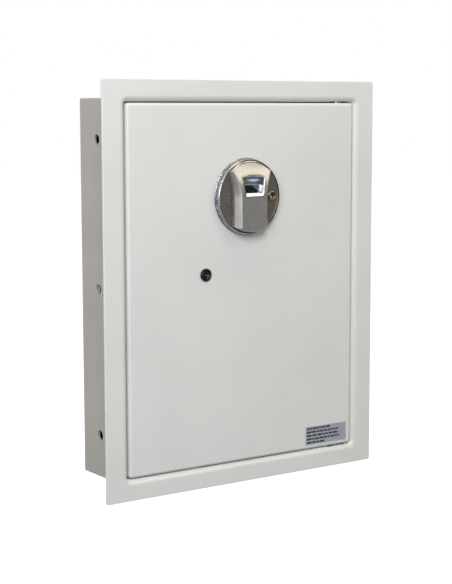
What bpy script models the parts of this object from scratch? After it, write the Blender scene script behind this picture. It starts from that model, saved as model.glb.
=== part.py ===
"""Recessed wall safe with a fingerprint knob, as an assembly of separate pieces.

Metres, +Z up, +X to the viewer's right, +Y into the wall. The origin is the centre of the wall
opening on the wall's surface, which is the plane of the trim flange's back face. The safe stands
as it does when closed and unlocked: door shut, bolts and lock pin withdrawn, knob upright.
"""

import math

import bmesh
import bpy
from mathutils import Matrix, Vector

# Sheet and clearances
SHEET = 0.0032
GAP = 0.0003
PIN_CLEARANCE = 0.0003
COVER_SHEET = 0.0015

# Housing
FLANGE_WIDTH = 0.408
FLANGE_HEIGHT = 0.504
FLANGE_CORNER = 0.003
BODY_WIDTH = 0.3556
BODY_HEIGHT = 0.4636
BODY_DROP = 0.0012
BODY_DEPTH = 0.1004
BODY_CORNER = 0.0018
BODY_LIP = 0.0024
OPENING_WIDTH = 0.3460
OPENING_HEIGHT = 0.4520
ROLL_RADIUS = 0.0075
THROAT_END = 0.014
STUD_HOLE_RADIUS = 0.0060
STUD_HOLE_Y = 0.0565
STUD_HOLE_PITCH = 0.181

# Shelves
SHELF_FRONT = 0.046
SHELF_Z = 0.075
SHELF_SHEET = 0.0015
SHELF_LIP = 0.012

# Door
DOOR_SIDE_GAP = 0.0022
DOOR_END_GAP = 0.0014
DOOR_SETBACK = 0.0005
DOOR_DEPTH = 0.016
DOOR_EDGE = 0.0035
DOOR_CORNER = 0.004
HINGE_X = 0.1508
HINGE_Y = 0.0058
HINGE_PIN_RADIUS = 0.0025

# Boltwork, behind the door skin
BOLT_RADIUS = 0.008
BOLT_Z = 0.150
BOLT_TIP_X = -0.1583
BOLT_THROW = 0.014
STRIKE_WIDTH = 0.0112
STRIKE_HALF_HEIGHT = 0.205
CARRIAGE_X = -0.106
CARRIAGE_SHEET = 0.003
CRANK_PIN_RADIUS = 0.003
KNOB_SWING = math.radians(60.0)

# Knob
KNOB_Z = 0.1094
RING_BASE_RADIUS = 0.0478
RING_NOSE_RADIUS = 0.0462
DISC_RADIUS = 0.04485
DISC_THICKNESS = 0.0074
RING_DEPTH = 0.0082
BRIDGE_HEIGHT = 0.0111
BRIDGE_HALF_WIDTH = 0.0207
BRIDGE_STRIP = 0.0019
BRIDGE_DRAFT = 0.0040
BRIDGE_REACH = 0.0442
CROWN_HALF_WIDTH = 0.0262
CROWN_CURVE = 0.095
WINDOW_BOTTOM = 0.0005
WINDOW_TOP = 0.0275
WINDOW_HALF_BOTTOM = 0.0143
WINDOW_HALF_TOP = 0.0176
WINDOW_DEPTH = 0.0092
SOCKET_X = 0.0344
INDICATOR_X = -0.033
INDICATOR_OFFSETS = (0.004, -0.006)
SPINDLE_RADIUS = 0.005
CAM_RADIUS = 0.022
CAM_THICKNESS = 0.004
PIN_RADIUS = 0.0025
PIN_NOTCH_DEPTH = 0.0062
PIN_NOTCH_HALF_WIDTH = 0.0038
PIN_FOOT = 0.051
CASE_TOP = 0.084

# Override key lock and rating label
KEY_X = -0.0608
KEY_Z = 0.0154
LABEL_X = 0.129
LABEL_Z = -0.2068
LABEL_WIDTH = 0.0681
LABEL_HEIGHT = 0.0246

# Cover over the boltwork
COVER_LEFT = -0.157
COVER_RIGHT = 0.125
COVER_HALF_HEIGHT = 0.185
COVER_BACK = 0.039
COVER_SCREWS = (-0.140, 0.112)
COVER_SCREW_Z = 0.1675
SCREW_RADIUS = 0.002
LID_LEFT = 0.0313
LID_RIGHT = 0.1047
LID_BOTTOM = -0.146
LID_TOP = -0.082

# Electronics on the door, inside the cover
WELL_LEFT = 0.035
WELL_RIGHT = 0.101
WELL_BOTTOM = -0.142
WELL_TOP = -0.086
WELL_FLOOR = 0.0192
WELL_WALL = 0.0016
BOARD_LOW = (0.036, 0.0095, -0.070)
BOARD_HIGH = (0.108, 0.0111, 0.030)
CABLE_X = 0.020
CABLE_Z = 0.084

# Planes and half sizes that follow from the above
FRONT = -SHEET
BACK = BODY_DEPTH - SHEET
BODY_X = BODY_WIDTH / 2
BODY_Z = BODY_HEIGHT / 2
INNER_X = BODY_X - SHEET
OPENING_X = OPENING_WIDTH / 2
OPENING_Z = OPENING_HEIGHT / 2
DOOR_X = OPENING_X - DOOR_SIDE_GAP
DOOR_Z = OPENING_Z - DOOR_END_GAP
DOOR_FRONT = FRONT + DOOR_SETBACK
DOOR_BACK = DOOR_FRONT + DOOR_DEPTH
SKIN_BACK = DOOR_FRONT + SHEET
STRIKE_Y = DOOR_BACK + 0.0005
BOLT_Y = STRIKE_Y + SHEET + 0.0006 + BOLT_RADIUS
CRANK_RADIUS = BOLT_THROW / (2 * math.sin(KNOB_SWING / 2))
DISC_BACK = DOOR_FRONT - 2 * GAP
DISC_FRONT = DISC_BACK - DISC_THICKNESS
BRIDGE_BACK = DISC_FRONT - GAP
BRIDGE_FRONT = DISC_FRONT - BRIDGE_HEIGHT
CAM_FRONT = 0.024
CAM_BACK = CAM_FRONT + CAM_THICKNESS
ARM_FRONT = 0.032
ARM_BACK = ARM_FRONT + CARRIAGE_SHEET
INNER_COVER = COVER_BACK - COVER_SHEET
LID_BACK = COVER_BACK + GAP + 0.002
PIN_Y = (CAM_FRONT + CAM_BACK) / 2

AXES = {"X": Vector((1, 0, 0)), "Y": Vector((0, 1, 0)), "Z": Vector((0, 0, 1))}


# --- materials ---------------------------------------------------------------------------------

def finish(name, colour, roughness, metallic=0.0):
    """A Principled material in one colour."""
    material = bpy.data.materials.new(name)
    material.use_nodes = True
    shader = material.node_tree.nodes["Principled BSDF"]
    shader.inputs["Base Color"].default_value = (*colour, 1.0)
    shader.inputs["Roughness"].default_value = roughness
    shader.inputs["Metallic"].default_value = metallic
    material.diffuse_color = (*colour, 1.0)
    return material


# --- mesh building -----------------------------------------------------------------------------

def skin(bm, loops, closed=False):
    """Join loops of equal length into a skin, with end caps unless the last meets the first."""
    rows = []
    for loop in loops:
        rows.append([bm.verts.new(point) for point in loop])
    pairs = list(zip(rows, rows[1:]))
    if closed:
        pairs.append((rows[-1], rows[0]))
    for lower, upper in pairs:
        for index in range(len(lower)):
            after = (index + 1) % len(lower)
            bm.faces.new((lower[index], lower[after], upper[after], upper[index]))
    if not closed:
        bm.faces.new(rows[0])
        bm.faces.new(rows[-1])


def add_box(bm, low, high):
    """A box between two corners."""
    size = Vector(high) - Vector(low)
    middle = (Vector(high) + Vector(low)) / 2
    place = Matrix.Translation(middle) @ Matrix.Diagonal((*size, 1.0))
    bmesh.ops.create_cube(bm, size=1.0, matrix=place)


def add_cylinder(bm, start, end, radius, segments=24):
    """A cylinder between the centres of its two end faces."""
    run = Vector(end) - Vector(start)
    turn = Vector((0, 0, 1)).rotation_difference(run).to_matrix().to_4x4()
    place = Matrix.Translation((Vector(start) + Vector(end)) / 2) @ turn
    bmesh.ops.create_cone(bm, cap_ends=True, segments=segments, radius1=radius,
                          radius2=radius, depth=run.length, matrix=place)


def add_turned(bm, centre, axis, profile, segments=32, ring=False):
    """Turn (radius, distance) points about an axis, as a solid or as a closed ring."""
    along = AXES[axis]
    across = AXES["Z"] if axis != "Z" else AXES["X"]
    other = along.cross(across)
    loops = []
    for radius, distance in profile:
        loop = []
        for step in range(segments):
            angle = 2 * math.pi * step / segments
            spoke = across * math.cos(angle) + other * math.sin(angle)
            loop.append(Vector(centre) + along * distance + spoke * radius)
        loops.append(loop)
    skin(bm, loops, closed=ring)


def rounded_rectangle(half_x, half_z, radius, y, centre=(0.0, 0.0), steps=4):
    """Points of a rectangle with round corners, in the plane at y."""
    points = []
    for quarter, (side_x, side_z) in enumerate(((1, 1), (-1, 1), (-1, -1), (1, -1))):
        for step in range(steps + 1):
            angle = math.radians(90 * (quarter + step / steps))
            x = centre[0] + side_x * (half_x - radius) + radius * math.cos(angle)
            z = centre[1] + side_z * (half_z - radius) + radius * math.sin(angle)
            points.append((x, y, z))
    return points


def piece(name, bm, material, origin=(0.0, 0.0, 0.0), pivot=None):
    """Make the object of a mesh that was built in the safe's frame, with its origin at a point."""
    bmesh.ops.recalc_face_normals(bm, faces=bm.faces)
    bmesh.ops.translate(bm, vec=-Vector(origin), verts=bm.verts)
    mesh = bpy.data.meshes.new(name)
    bm.to_mesh(mesh)
    bm.free()
    mesh.materials.append(material)
    mesh.shade_smooth()
    mesh.set_sharp_from_angle(angle=math.radians(35))
    item = bpy.data.objects.new(name, mesh)
    item.location = origin
    bpy.context.scene.collection.objects.link(item)
    if pivot:
        item.parent = pivot
        item.matrix_parent_inverse = Matrix.Translation(-pivot.location)
    return item


def pivot_empty(name, location, parent=None):
    """An empty on a joint's axis, for the pieces that move together."""
    empty = bpy.data.objects.new(name, None)
    empty.empty_display_size = 0.02
    empty.location = location
    bpy.context.scene.collection.objects.link(empty)
    if parent:
        empty.parent = parent
        empty.matrix_parent_inverse = Matrix.Translation(-parent.location)
    return empty


def combine(target, bm, operation):
    """Apply a helper mesh to a piece with an exact Boolean."""
    bmesh.ops.recalc_face_normals(bm, faces=bm.faces)
    mesh = bpy.data.meshes.new(target.name + "_helper")
    bm.to_mesh(mesh)
    bm.free()
    helper = bpy.data.objects.new(mesh.name, mesh)
    helper.hide_render = True
    helper.display_type = "WIRE"
    bpy.context.scene.collection.objects.link(helper)
    modifier = target.modifiers.new(operation.title(), "BOOLEAN")
    modifier.operation = operation
    modifier.solver = "EXACT"
    modifier.object = helper


def cylinder_piece(name, start, end, radius, material, pivot=None, segments=24, edge=0.0):
    """A plain round bar, with a chamfer at both ends where edge is given."""
    run = Vector(end) - Vector(start)
    axis = max(AXES, key=lambda letter: abs(run.dot(AXES[letter])))
    length = run.dot(AXES[axis])
    sign = math.copysign(1.0, length)
    profile = [(radius - edge, 0.0), (radius, sign * edge),
               (radius, length - sign * edge), (radius - edge, length)]
    if not edge:
        profile = [(radius, 0.0), (radius, length)]
    bm = bmesh.new()
    add_turned(bm, start, axis, profile, segments)
    return piece(name, bm, material, start, pivot)


# --- housing -----------------------------------------------------------------------------------

def make_trim_flange(material):
    """The flat trim, whose inner edge rolls back into the throat that the door closes in."""
    half_x = FLANGE_WIDTH / 2
    half_z = FLANGE_HEIGHT / 2
    steps = 5

    def throat(distance, y):
        return rounded_rectangle(OPENING_X + distance, OPENING_Z + distance, DOOR_CORNER + distance, y)

    loops = [rounded_rectangle(half_x, half_z, FLANGE_CORNER, 0.0),
             rounded_rectangle(half_x, half_z, FLANGE_CORNER, FRONT + 0.0006),
             rounded_rectangle(half_x - 0.0006, half_z - 0.0006, FLANGE_CORNER, FRONT)]
    for step in range(steps + 1):
        angle = math.pi / 2 * step / steps
        distance = ROLL_RADIUS * (1 - math.sin(angle))
        loops.append(throat(distance, FRONT + ROLL_RADIUS * (1 - math.cos(angle))))
    loops.append(throat(0.0, THROAT_END))
    loops.append(throat(SHEET, THROAT_END))
    inner_radius = ROLL_RADIUS - SHEET
    for step in range(steps, -1, -1):
        angle = math.pi / 2 * step / steps
        distance = SHEET + inner_radius * (1 - math.sin(angle))
        loops.append(throat(distance, inner_radius * (1 - math.cos(angle))))
    bm = bmesh.new()
    skin(bm, loops, closed=True)
    flange = piece("trim_flange", bm, material)
    notch = bmesh.new()
    half_width = 0.015
    height = 0.0055
    for side in (-1, 1):
        low, high = sorted((side * (OPENING_Z - 0.001), side * (OPENING_Z + height)))
        add_box(notch, (HINGE_X - half_width, 0.001, low),
                (HINGE_X + half_width, THROAT_END - 0.0005, high))
    combine(flange, notch, "DIFFERENCE")


def make_body_shell(material):
    """The recessed box, whose front lip meets the throat, with three stud holes a side."""
    front = THROAT_END + GAP
    bend = BODY_CORNER - GAP

    def box(inset, corner, y):
        return rounded_rectangle(BODY_X - inset, BODY_Z - inset, corner, y, (0.0, -BODY_DROP))

    loops = [box(SHEET, BODY_CORNER / 2, BACK - SHEET),
             box(SHEET, BODY_CORNER / 2, front + BODY_LIP),
             rounded_rectangle(OPENING_X, OPENING_Z, DOOR_CORNER, front + BODY_LIP),
             rounded_rectangle(OPENING_X, OPENING_Z, DOOR_CORNER, front),
             box(0.0, BODY_CORNER, front)]
    steps = 3
    for step in range(steps + 1):
        angle = math.pi / 2 * step / steps
        inset = bend * (1 - math.cos(angle))
        loops.append(box(inset, BODY_CORNER - inset, BACK - bend + bend * math.sin(angle)))
    bm = bmesh.new()
    skin(bm, loops)
    shell = piece("body_shell", bm, material)
    holes = bmesh.new()
    for side in (-1, 1):
        for row in (-1, 0, 1):
            z = row * STUD_HOLE_PITCH
            add_cylinder(holes, (side * (INNER_X - 0.002), STUD_HOLE_Y, z),
                         (side * (BODY_X + 0.002), STUD_HOLE_Y, z), STUD_HOLE_RADIUS, 20)
    combine(shell, holes, "DIFFERENCE")


def make_bolt_strike(material):
    """The bar on the box's left lip that the bolts pass behind, which also stops the door."""
    bm = bmesh.new()
    left = -OPENING_X + GAP
    add_box(bm, (left, STRIKE_Y, -STRIKE_HALF_HEIGHT),
            (left + STRIKE_WIDTH, STRIKE_Y + SHEET, STRIKE_HALF_HEIGHT))
    piece("bolt_strike", bm, material)


def make_hinge_bracket(name, side, material):
    """A bracket outside the wall, with a nose in the throat's notch that holds the pivot pin."""
    half_width = 0.0078
    nose_z = OPENING_Z + 0.0004
    wall_z = BODY_Z - side * BODY_DROP + GAP
    outer_z = wall_z + 0.0024
    nose_front = 0.0016
    nose_back = 0.0125
    tail = 0.030
    outline = [(nose_front, nose_z), (nose_back, nose_z), (nose_back, wall_z), (tail, wall_z),
               (tail, outer_z), (nose_front, outer_z)]
    bm = bmesh.new()
    loops = []
    for x in (HINGE_X - half_width, HINGE_X + half_width):
        loops.append([(x, y, side * z) for y, z in outline])
    skin(bm, loops)
    bracket = piece(name, bm, material)
    bore = bmesh.new()
    add_cylinder(bore, (HINGE_X, HINGE_Y, side * (nose_z - 0.002)),
                 (HINGE_X, HINGE_Y, side * (outer_z + 0.002)),
                 HINGE_PIN_RADIUS + PIN_CLEARANCE, 20)
    combine(bracket, bore, "DIFFERENCE")


def make_shelf(name, z, material):
    """A folded steel shelf: a flat top with a lip turned down along its front edge."""
    back = BACK - SHEET - GAP
    outline = [(SHELF_FRONT, z), (back, z), (back, z - SHELF_SHEET),
               (SHELF_FRONT + SHELF_SHEET, z - SHELF_SHEET),
               (SHELF_FRONT + SHELF_SHEET, z - SHELF_LIP), (SHELF_FRONT, z - SHELF_LIP)]
    half = INNER_X - COVER_SHEET - 3 * GAP
    bm = bmesh.new()
    loops = []
    for x in (-half, half):
        loops.append([(x, y, height) for y, height in outline])
    skin(bm, loops)
    piece(name, bm, material)


def make_shelf_rail(name, side, material):
    """A strip on the side wall with a ledge under the end of each shelf."""
    wall_x = INNER_X - GAP
    ledge = 0.010
    strip = wall_x - COVER_SHEET
    upper = SHELF_Z - SHELF_SHEET - GAP
    lower = -SHELF_Z - SHELF_SHEET - GAP
    outline = [(wall_x, upper), (wall_x - ledge, upper), (wall_x - ledge, upper - COVER_SHEET),
               (strip, upper - COVER_SHEET), (strip, lower), (wall_x - ledge, lower),
               (wall_x - ledge, lower - COVER_SHEET), (wall_x, lower - COVER_SHEET)]
    bm = bmesh.new()
    loops = []
    for y in (SHELF_FRONT + 0.014, BACK - SHEET - 0.004):
        loops.append([(side * x, y, z) for x, z in outline])
    skin(bm, loops)
    piece(name, bm, material)


def make_floor_mat(material):
    """The thin mat on the floor of the safe, clear of the swinging door."""
    bm = bmesh.new()
    floor = -BODY_Z - BODY_DROP + SHEET + GAP
    half = INNER_X - DOOR_CORNER
    add_box(bm, (-half, 0.030, floor), (half, BACK - SHEET - 0.001, floor + 0.003))
    piece("floor_mat", bm, material)


# --- door --------------------------------------------------------------------------------------

def make_door_panel(material, pivot):
    """The pan-shaped door: a flat skin with soft edges and a return on all four sides."""
    steps = 4
    inner_corner = DOOR_CORNER - SHEET + 0.0008
    loops = [rounded_rectangle(DOOR_X - SHEET, DOOR_Z - SHEET, inner_corner, SKIN_BACK),
             rounded_rectangle(DOOR_X - SHEET, DOOR_Z - SHEET, inner_corner, DOOR_BACK),
             rounded_rectangle(DOOR_X, DOOR_Z, DOOR_CORNER, DOOR_BACK)]
    for step in range(steps + 1):
        angle = math.pi / 2 * step / steps
        inset = DOOR_EDGE * (1 - math.cos(angle))
        y = DOOR_FRONT + DOOR_EDGE * (1 - math.sin(angle))
        loops.append(rounded_rectangle(DOOR_X - inset, DOOR_Z - inset, DOOR_CORNER - inset, y))
    bm = bmesh.new()
    skin(bm, loops)
    door = piece("door_panel", bm, material, pivot.location, pivot)
    holes = bmesh.new()
    near = DOOR_FRONT - 0.002
    far = SKIN_BACK + 0.002
    add_cylinder(holes, (0, near, KNOB_Z), (0, far, KNOB_Z), 0.009, 24)
    add_cylinder(holes, (CABLE_X, near, CABLE_Z), (CABLE_X, far, CABLE_Z), 0.0035, 16)
    add_cylinder(holes, (KEY_X, near, KEY_Z), (KEY_X, far, KEY_Z), 0.0063, 24)
    for side in (-1, 1):
        add_cylinder(holes, (HINGE_X, HINGE_Y, side * (DOOR_Z - SHEET - 0.002)),
                     (HINGE_X, HINGE_Y, side * (DOOR_Z + 0.002)),
                     HINGE_PIN_RADIUS + PIN_CLEARANCE, 20)
    combine(door, holes, "DIFFERENCE")


def make_pivot_set(word, side, steel, bright, pivot):
    """The block in the door's corner, the pin it holds, and the thrust washer in the gap."""
    bore_radius = HINGE_PIN_RADIUS + PIN_CLEARANCE
    block_foot = 0.200
    pin_foot = 0.206
    pin_top = BODY_Z - side * BODY_DROP + 0.0020
    half_width = 0.0108
    low, high = sorted((side * block_foot, side * (DOOR_Z - SHEET - GAP)))
    block = bmesh.new()
    add_box(block, (HINGE_X - half_width, SKIN_BACK + GAP, low),
            (HINGE_X + half_width, DOOR_BACK - 0.001, high))
    block = piece(word + "_pivot_block", block, steel, pivot.location, pivot)
    bore = bmesh.new()
    add_cylinder(bore, (HINGE_X, HINGE_Y, side * (pin_foot - 0.0005)),
                 (HINGE_X, HINGE_Y, side * DOOR_Z), bore_radius, 20)
    combine(block, bore, "DIFFERENCE")
    cylinder_piece(word + "_hinge_pin", (HINGE_X, HINGE_Y, side * pin_foot),
                   (HINGE_X, HINGE_Y, side * pin_top), HINGE_PIN_RADIUS, bright, pivot, 20, 0.0005)
    washer = bmesh.new()
    base = DOOR_Z + GAP
    top = OPENING_Z + 0.0004 - GAP
    washer_radius = 0.00415
    profile = [(bore_radius, side * base), (washer_radius, side * base),
               (washer_radius, side * top), (bore_radius, side * top)]
    add_turned(washer, (HINGE_X, HINGE_Y, 0), "Z", profile, 24, ring=True)
    piece(word + "_hinge_washer", washer, bright, pivot.location, pivot)


def make_bolt_guide(word, side, material, pivot):
    """A guide block on the door skin with the bolt's bore and a tapped hole for the cover."""
    left = -0.152
    right = -0.128
    low, high = sorted((side * (BOLT_Z - 0.0115), side * (BOLT_Z + 0.026)))
    bm = bmesh.new()
    add_box(bm, (left, SKIN_BACK + GAP, low), (right, INNER_COVER - GAP, high))
    guide = piece(word + "_bolt_guide", bm, material, pivot.location, pivot)
    bores = bmesh.new()
    add_cylinder(bores, (left - 0.002, BOLT_Y, side * BOLT_Z),
                 (right + 0.002, BOLT_Y, side * BOLT_Z), BOLT_RADIUS + 0.0004, 32)
    add_screw_hole(bores, COVER_SCREWS[0], side)
    combine(guide, bores, "DIFFERENCE")


def add_screw_hole(bm, x, side):
    """The blind hole that a cover screw turns into."""
    z = side * COVER_SCREW_Z
    add_cylinder(bm, (x, INNER_COVER - 0.0115, z), (x, INNER_COVER + 0.003, z),
                 SCREW_RADIUS + GAP, 16)


def make_cover_pillar(word, side, material, pivot):
    """A round pillar on the door skin that holds the cover's right side."""
    x = COVER_SCREWS[1]
    z = side * COVER_SCREW_Z
    pillar = cylinder_piece(word + "_cover_pillar", (x, SKIN_BACK + GAP, z),
                            (x, INNER_COVER - GAP, z), 0.006, material, pivot, 20)
    hole = bmesh.new()
    add_screw_hole(hole, x, side)
    combine(pillar, hole, "DIFFERENCE")


def make_cover_screw(name, x, z, material, pivot):
    """A pan-head screw through the cover: head outside, shank in its tapped hole."""
    bm = bmesh.new()
    head = COVER_BACK + GAP
    profile = [(SCREW_RADIUS, INNER_COVER - 0.010), (SCREW_RADIUS, head), (0.004, head),
               (0.004, head + 0.0012), (0.0026, head + 0.0024)]
    add_turned(bm, (x, 0, z), "Y", profile, 16)
    screw = piece(name, bm, material, (x, COVER_BACK, z), pivot)
    slot = bmesh.new()
    add_box(slot, (x - 0.005, head + 0.0012, z - 0.0005), (x + 0.005, head + 0.004, z + 0.0005))
    combine(screw, slot, "DIFFERENCE")


def make_mechanism_cover(material, pivot):
    """The folded cover over the boltwork, with bolt holes, a battery opening and lid rails."""
    centre = ((COVER_LEFT + COVER_RIGHT) / 2, 0.0)
    half = (COVER_RIGHT - COVER_LEFT) / 2
    foot = SKIN_BACK + GAP
    radius = 0.003

    def tray(inset, y):
        return rounded_rectangle(half - inset, COVER_HALF_HEIGHT - inset,
                                 radius - min(inset, COVER_SHEET), y, centre, steps=3)

    loops = [tray(COVER_SHEET, INNER_COVER), tray(COVER_SHEET, foot), tray(0.0, foot),
             tray(0.0, COVER_BACK - 0.001), tray(0.001, COVER_BACK)]
    bm = bmesh.new()
    skin(bm, loops)
    cover = piece("mechanism_cover", bm, material, pivot.location, pivot)
    rails = bmesh.new()
    for edge, out in ((LID_LEFT - GAP, -1), (LID_RIGHT + GAP, 1)):
        root = COVER_BACK - 0.0005
        lip = LID_BACK + GAP
        outline = [(edge, root), (edge + out * 0.0025, root), (edge + out * 0.0025, lip + 0.001),
                   (edge - out * 0.002, lip + 0.001), (edge - out * 0.002, lip), (edge, lip)]
        skin(rails, [[(x, y, z) for x, y in outline] for z in (LID_BOTTOM, LID_TOP)])
    combine(cover, rails, "UNION")
    holes = bmesh.new()
    for side in (-1, 1):
        add_cylinder(holes, (COVER_LEFT - 0.002, BOLT_Y, side * BOLT_Z),
                     (COVER_LEFT + 0.004, BOLT_Y, side * BOLT_Z), BOLT_RADIUS + 0.0006, 32)
        for x in COVER_SCREWS:
            add_cylinder(holes, (x, INNER_COVER - 0.002, side * COVER_SCREW_Z),
                         (x, COVER_BACK + 0.002, side * COVER_SCREW_Z), SCREW_RADIUS + GAP, 16)
    add_box(holes, (WELL_LEFT + 0.001, INNER_COVER - 0.002, WELL_BOTTOM + 0.001),
            (WELL_RIGHT - 0.001, COVER_BACK + 0.0002, WELL_TOP - 0.001))
    combine(cover, holes, "DIFFERENCE")


def make_battery_lid(material, pivot):
    """The lid that slides down in the cover's rails, with a ridge for the fingertip."""
    bm = bmesh.new()
    add_box(bm, (LID_LEFT, COVER_BACK + GAP, LID_BOTTOM), (LID_RIGHT, LID_BACK, LID_TOP))
    lid = piece("battery_lid", bm, material, pivot.location, pivot)
    ridge = bmesh.new()
    middle = (LID_LEFT + LID_RIGHT) / 2
    add_box(ridge, (middle - 0.014, LID_BACK - 0.0005, LID_TOP - 0.010),
            (middle + 0.014, LID_BACK + 0.0012, LID_TOP - 0.0075))
    combine(lid, ridge, "UNION")


def make_electronics_tray(material, pivot):
    """One moulding: a base on the door skin, a well for four cells and posts for the board."""
    base_front = SKIN_BACK + GAP
    base_back = 0.003
    bm = bmesh.new()
    add_box(bm, (0.030, base_front, -0.150), (0.118, base_back, 0.036))
    tray = piece("electronics_tray", bm, material, pivot.location, pivot)
    raised = bmesh.new()
    add_box(raised, (WELL_LEFT, base_back - 0.0005, WELL_BOTTOM),
            (WELL_RIGHT, INNER_COVER - 2 * GAP, WELL_TOP))
    for x in (BOARD_LOW[0] + 0.005, BOARD_HIGH[0] - 0.005):
        for z in (BOARD_LOW[2] + 0.005, BOARD_HIGH[2] - 0.005):
            add_cylinder(raised, (x, base_back - 0.0005, z), (x, BOARD_LOW[1] - GAP, z), 0.003, 12)
    combine(tray, raised, "UNION")
    hollow = bmesh.new()
    add_box(hollow, (WELL_LEFT + WELL_WALL, WELL_FLOOR, WELL_BOTTOM + WELL_WALL),
            (WELL_RIGHT - WELL_WALL, COVER_BACK, WELL_TOP - WELL_WALL))
    add_box(hollow, (WELL_LEFT + 2 * WELL_WALL, base_back + WELL_WALL, WELL_BOTTOM - 0.002),
            (WELL_RIGHT - 2 * WELL_WALL, WELL_FLOOR - WELL_WALL, WELL_TOP - 2 * WELL_WALL))
    combine(tray, hollow, "DIFFERENCE")


def make_batteries(material, pivot):
    """Four cells side by side in the well."""
    radius = 0.0071
    pitch = 0.0154
    middle = (WELL_LEFT + WELL_RIGHT) / 2
    y = WELL_FLOOR + GAP + radius
    base = WELL_BOTTOM + WELL_WALL + 0.001
    for number in range(4):
        x = middle + (number - 1.5) * pitch
        bm = bmesh.new()
        profile = [(radius - 0.0005, 0.0), (radius, 0.0005), (radius, 0.0485),
                   (radius - 0.0005, 0.0490), (0.0027, 0.0490), (0.0027, 0.0503)]
        add_turned(bm, (x, y, base), "Z", profile, 20)
        piece("battery_" + str(number + 1), bm, material, (x, y, base), pivot)


def make_control_board(material, pivot):
    """The circuit board with its processor, a relay and the connector of the sensor cable."""
    bm = bmesh.new()
    add_box(bm, BOARD_LOW, BOARD_HIGH)
    board = piece("control_board", bm, material, pivot.location, pivot)
    parts = bmesh.new()
    root = BOARD_HIGH[1] - 0.0004
    blocks = [((0.058, -0.020), (0.076, -0.002), 0.0022), ((0.086, -0.060), (0.102, -0.040), 0.014),
              ((0.044, 0.012), (0.060, 0.022), 0.008), ((0.046, -0.062), (0.062, -0.052), 0.008)]
    for low, high, rise in blocks:
        add_box(parts, (low[0], root, low[1]), (high[0], root + rise, high[1]))
    combine(board, parts, "UNION")


def make_cable(name, route, radius, material, pivot):
    """A round cable along a smooth curve through the points of its route."""
    points = [Vector(point) for point in route]
    padded = [2 * points[0] - points[1], *points, 2 * points[-1] - points[-2]]
    smooth = []
    pieces = 5
    for before, start, end, after in zip(padded, padded[1:], padded[2:], padded[3:]):
        for step in range(pieces):
            t = step / pieces
            smooth.append(0.5 * (2 * start + (end - before) * t
                                 + (2 * before - 5 * start + 4 * end - after) * t ** 2
                                 + (3 * start - before - 3 * end + after) * t ** 3))
    smooth.append(points[-1])
    curve = bpy.data.curves.new(name, "CURVE")
    curve.dimensions = "3D"
    curve.bevel_depth = radius
    curve.bevel_resolution = 2
    curve.use_fill_caps = True
    spline = curve.splines.new("POLY")
    spline.points.add(len(smooth) - 1)
    for point, place in zip(spline.points, smooth):
        point.co = (*place, 1.0)
    curve.materials.append(material)
    item = bpy.data.objects.new(name, curve)
    bpy.context.scene.collection.objects.link(item)
    item.parent = pivot
    item.matrix_parent_inverse = Matrix.Translation(-pivot.location)


def make_lock_case(material, pivot):
    """The die-cast case of the blocking solenoid, with the pin's bore open at the top."""
    bm = bmesh.new()
    half_width = 0.0155
    back = 0.0345
    add_box(bm, (-half_width, SKIN_BACK + GAP, PIN_FOOT - 0.005), (half_width, back, CASE_TOP))
    case = piece("lock_case", bm, material, pivot.location, pivot)
    bore = bmesh.new()
    add_cylinder(bore, (0, PIN_Y, PIN_FOOT - 0.0005), (0, PIN_Y, CASE_TOP + 0.002),
                 PIN_RADIUS + 0.0004, 20)
    combine(case, bore, "DIFFERENCE")


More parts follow.
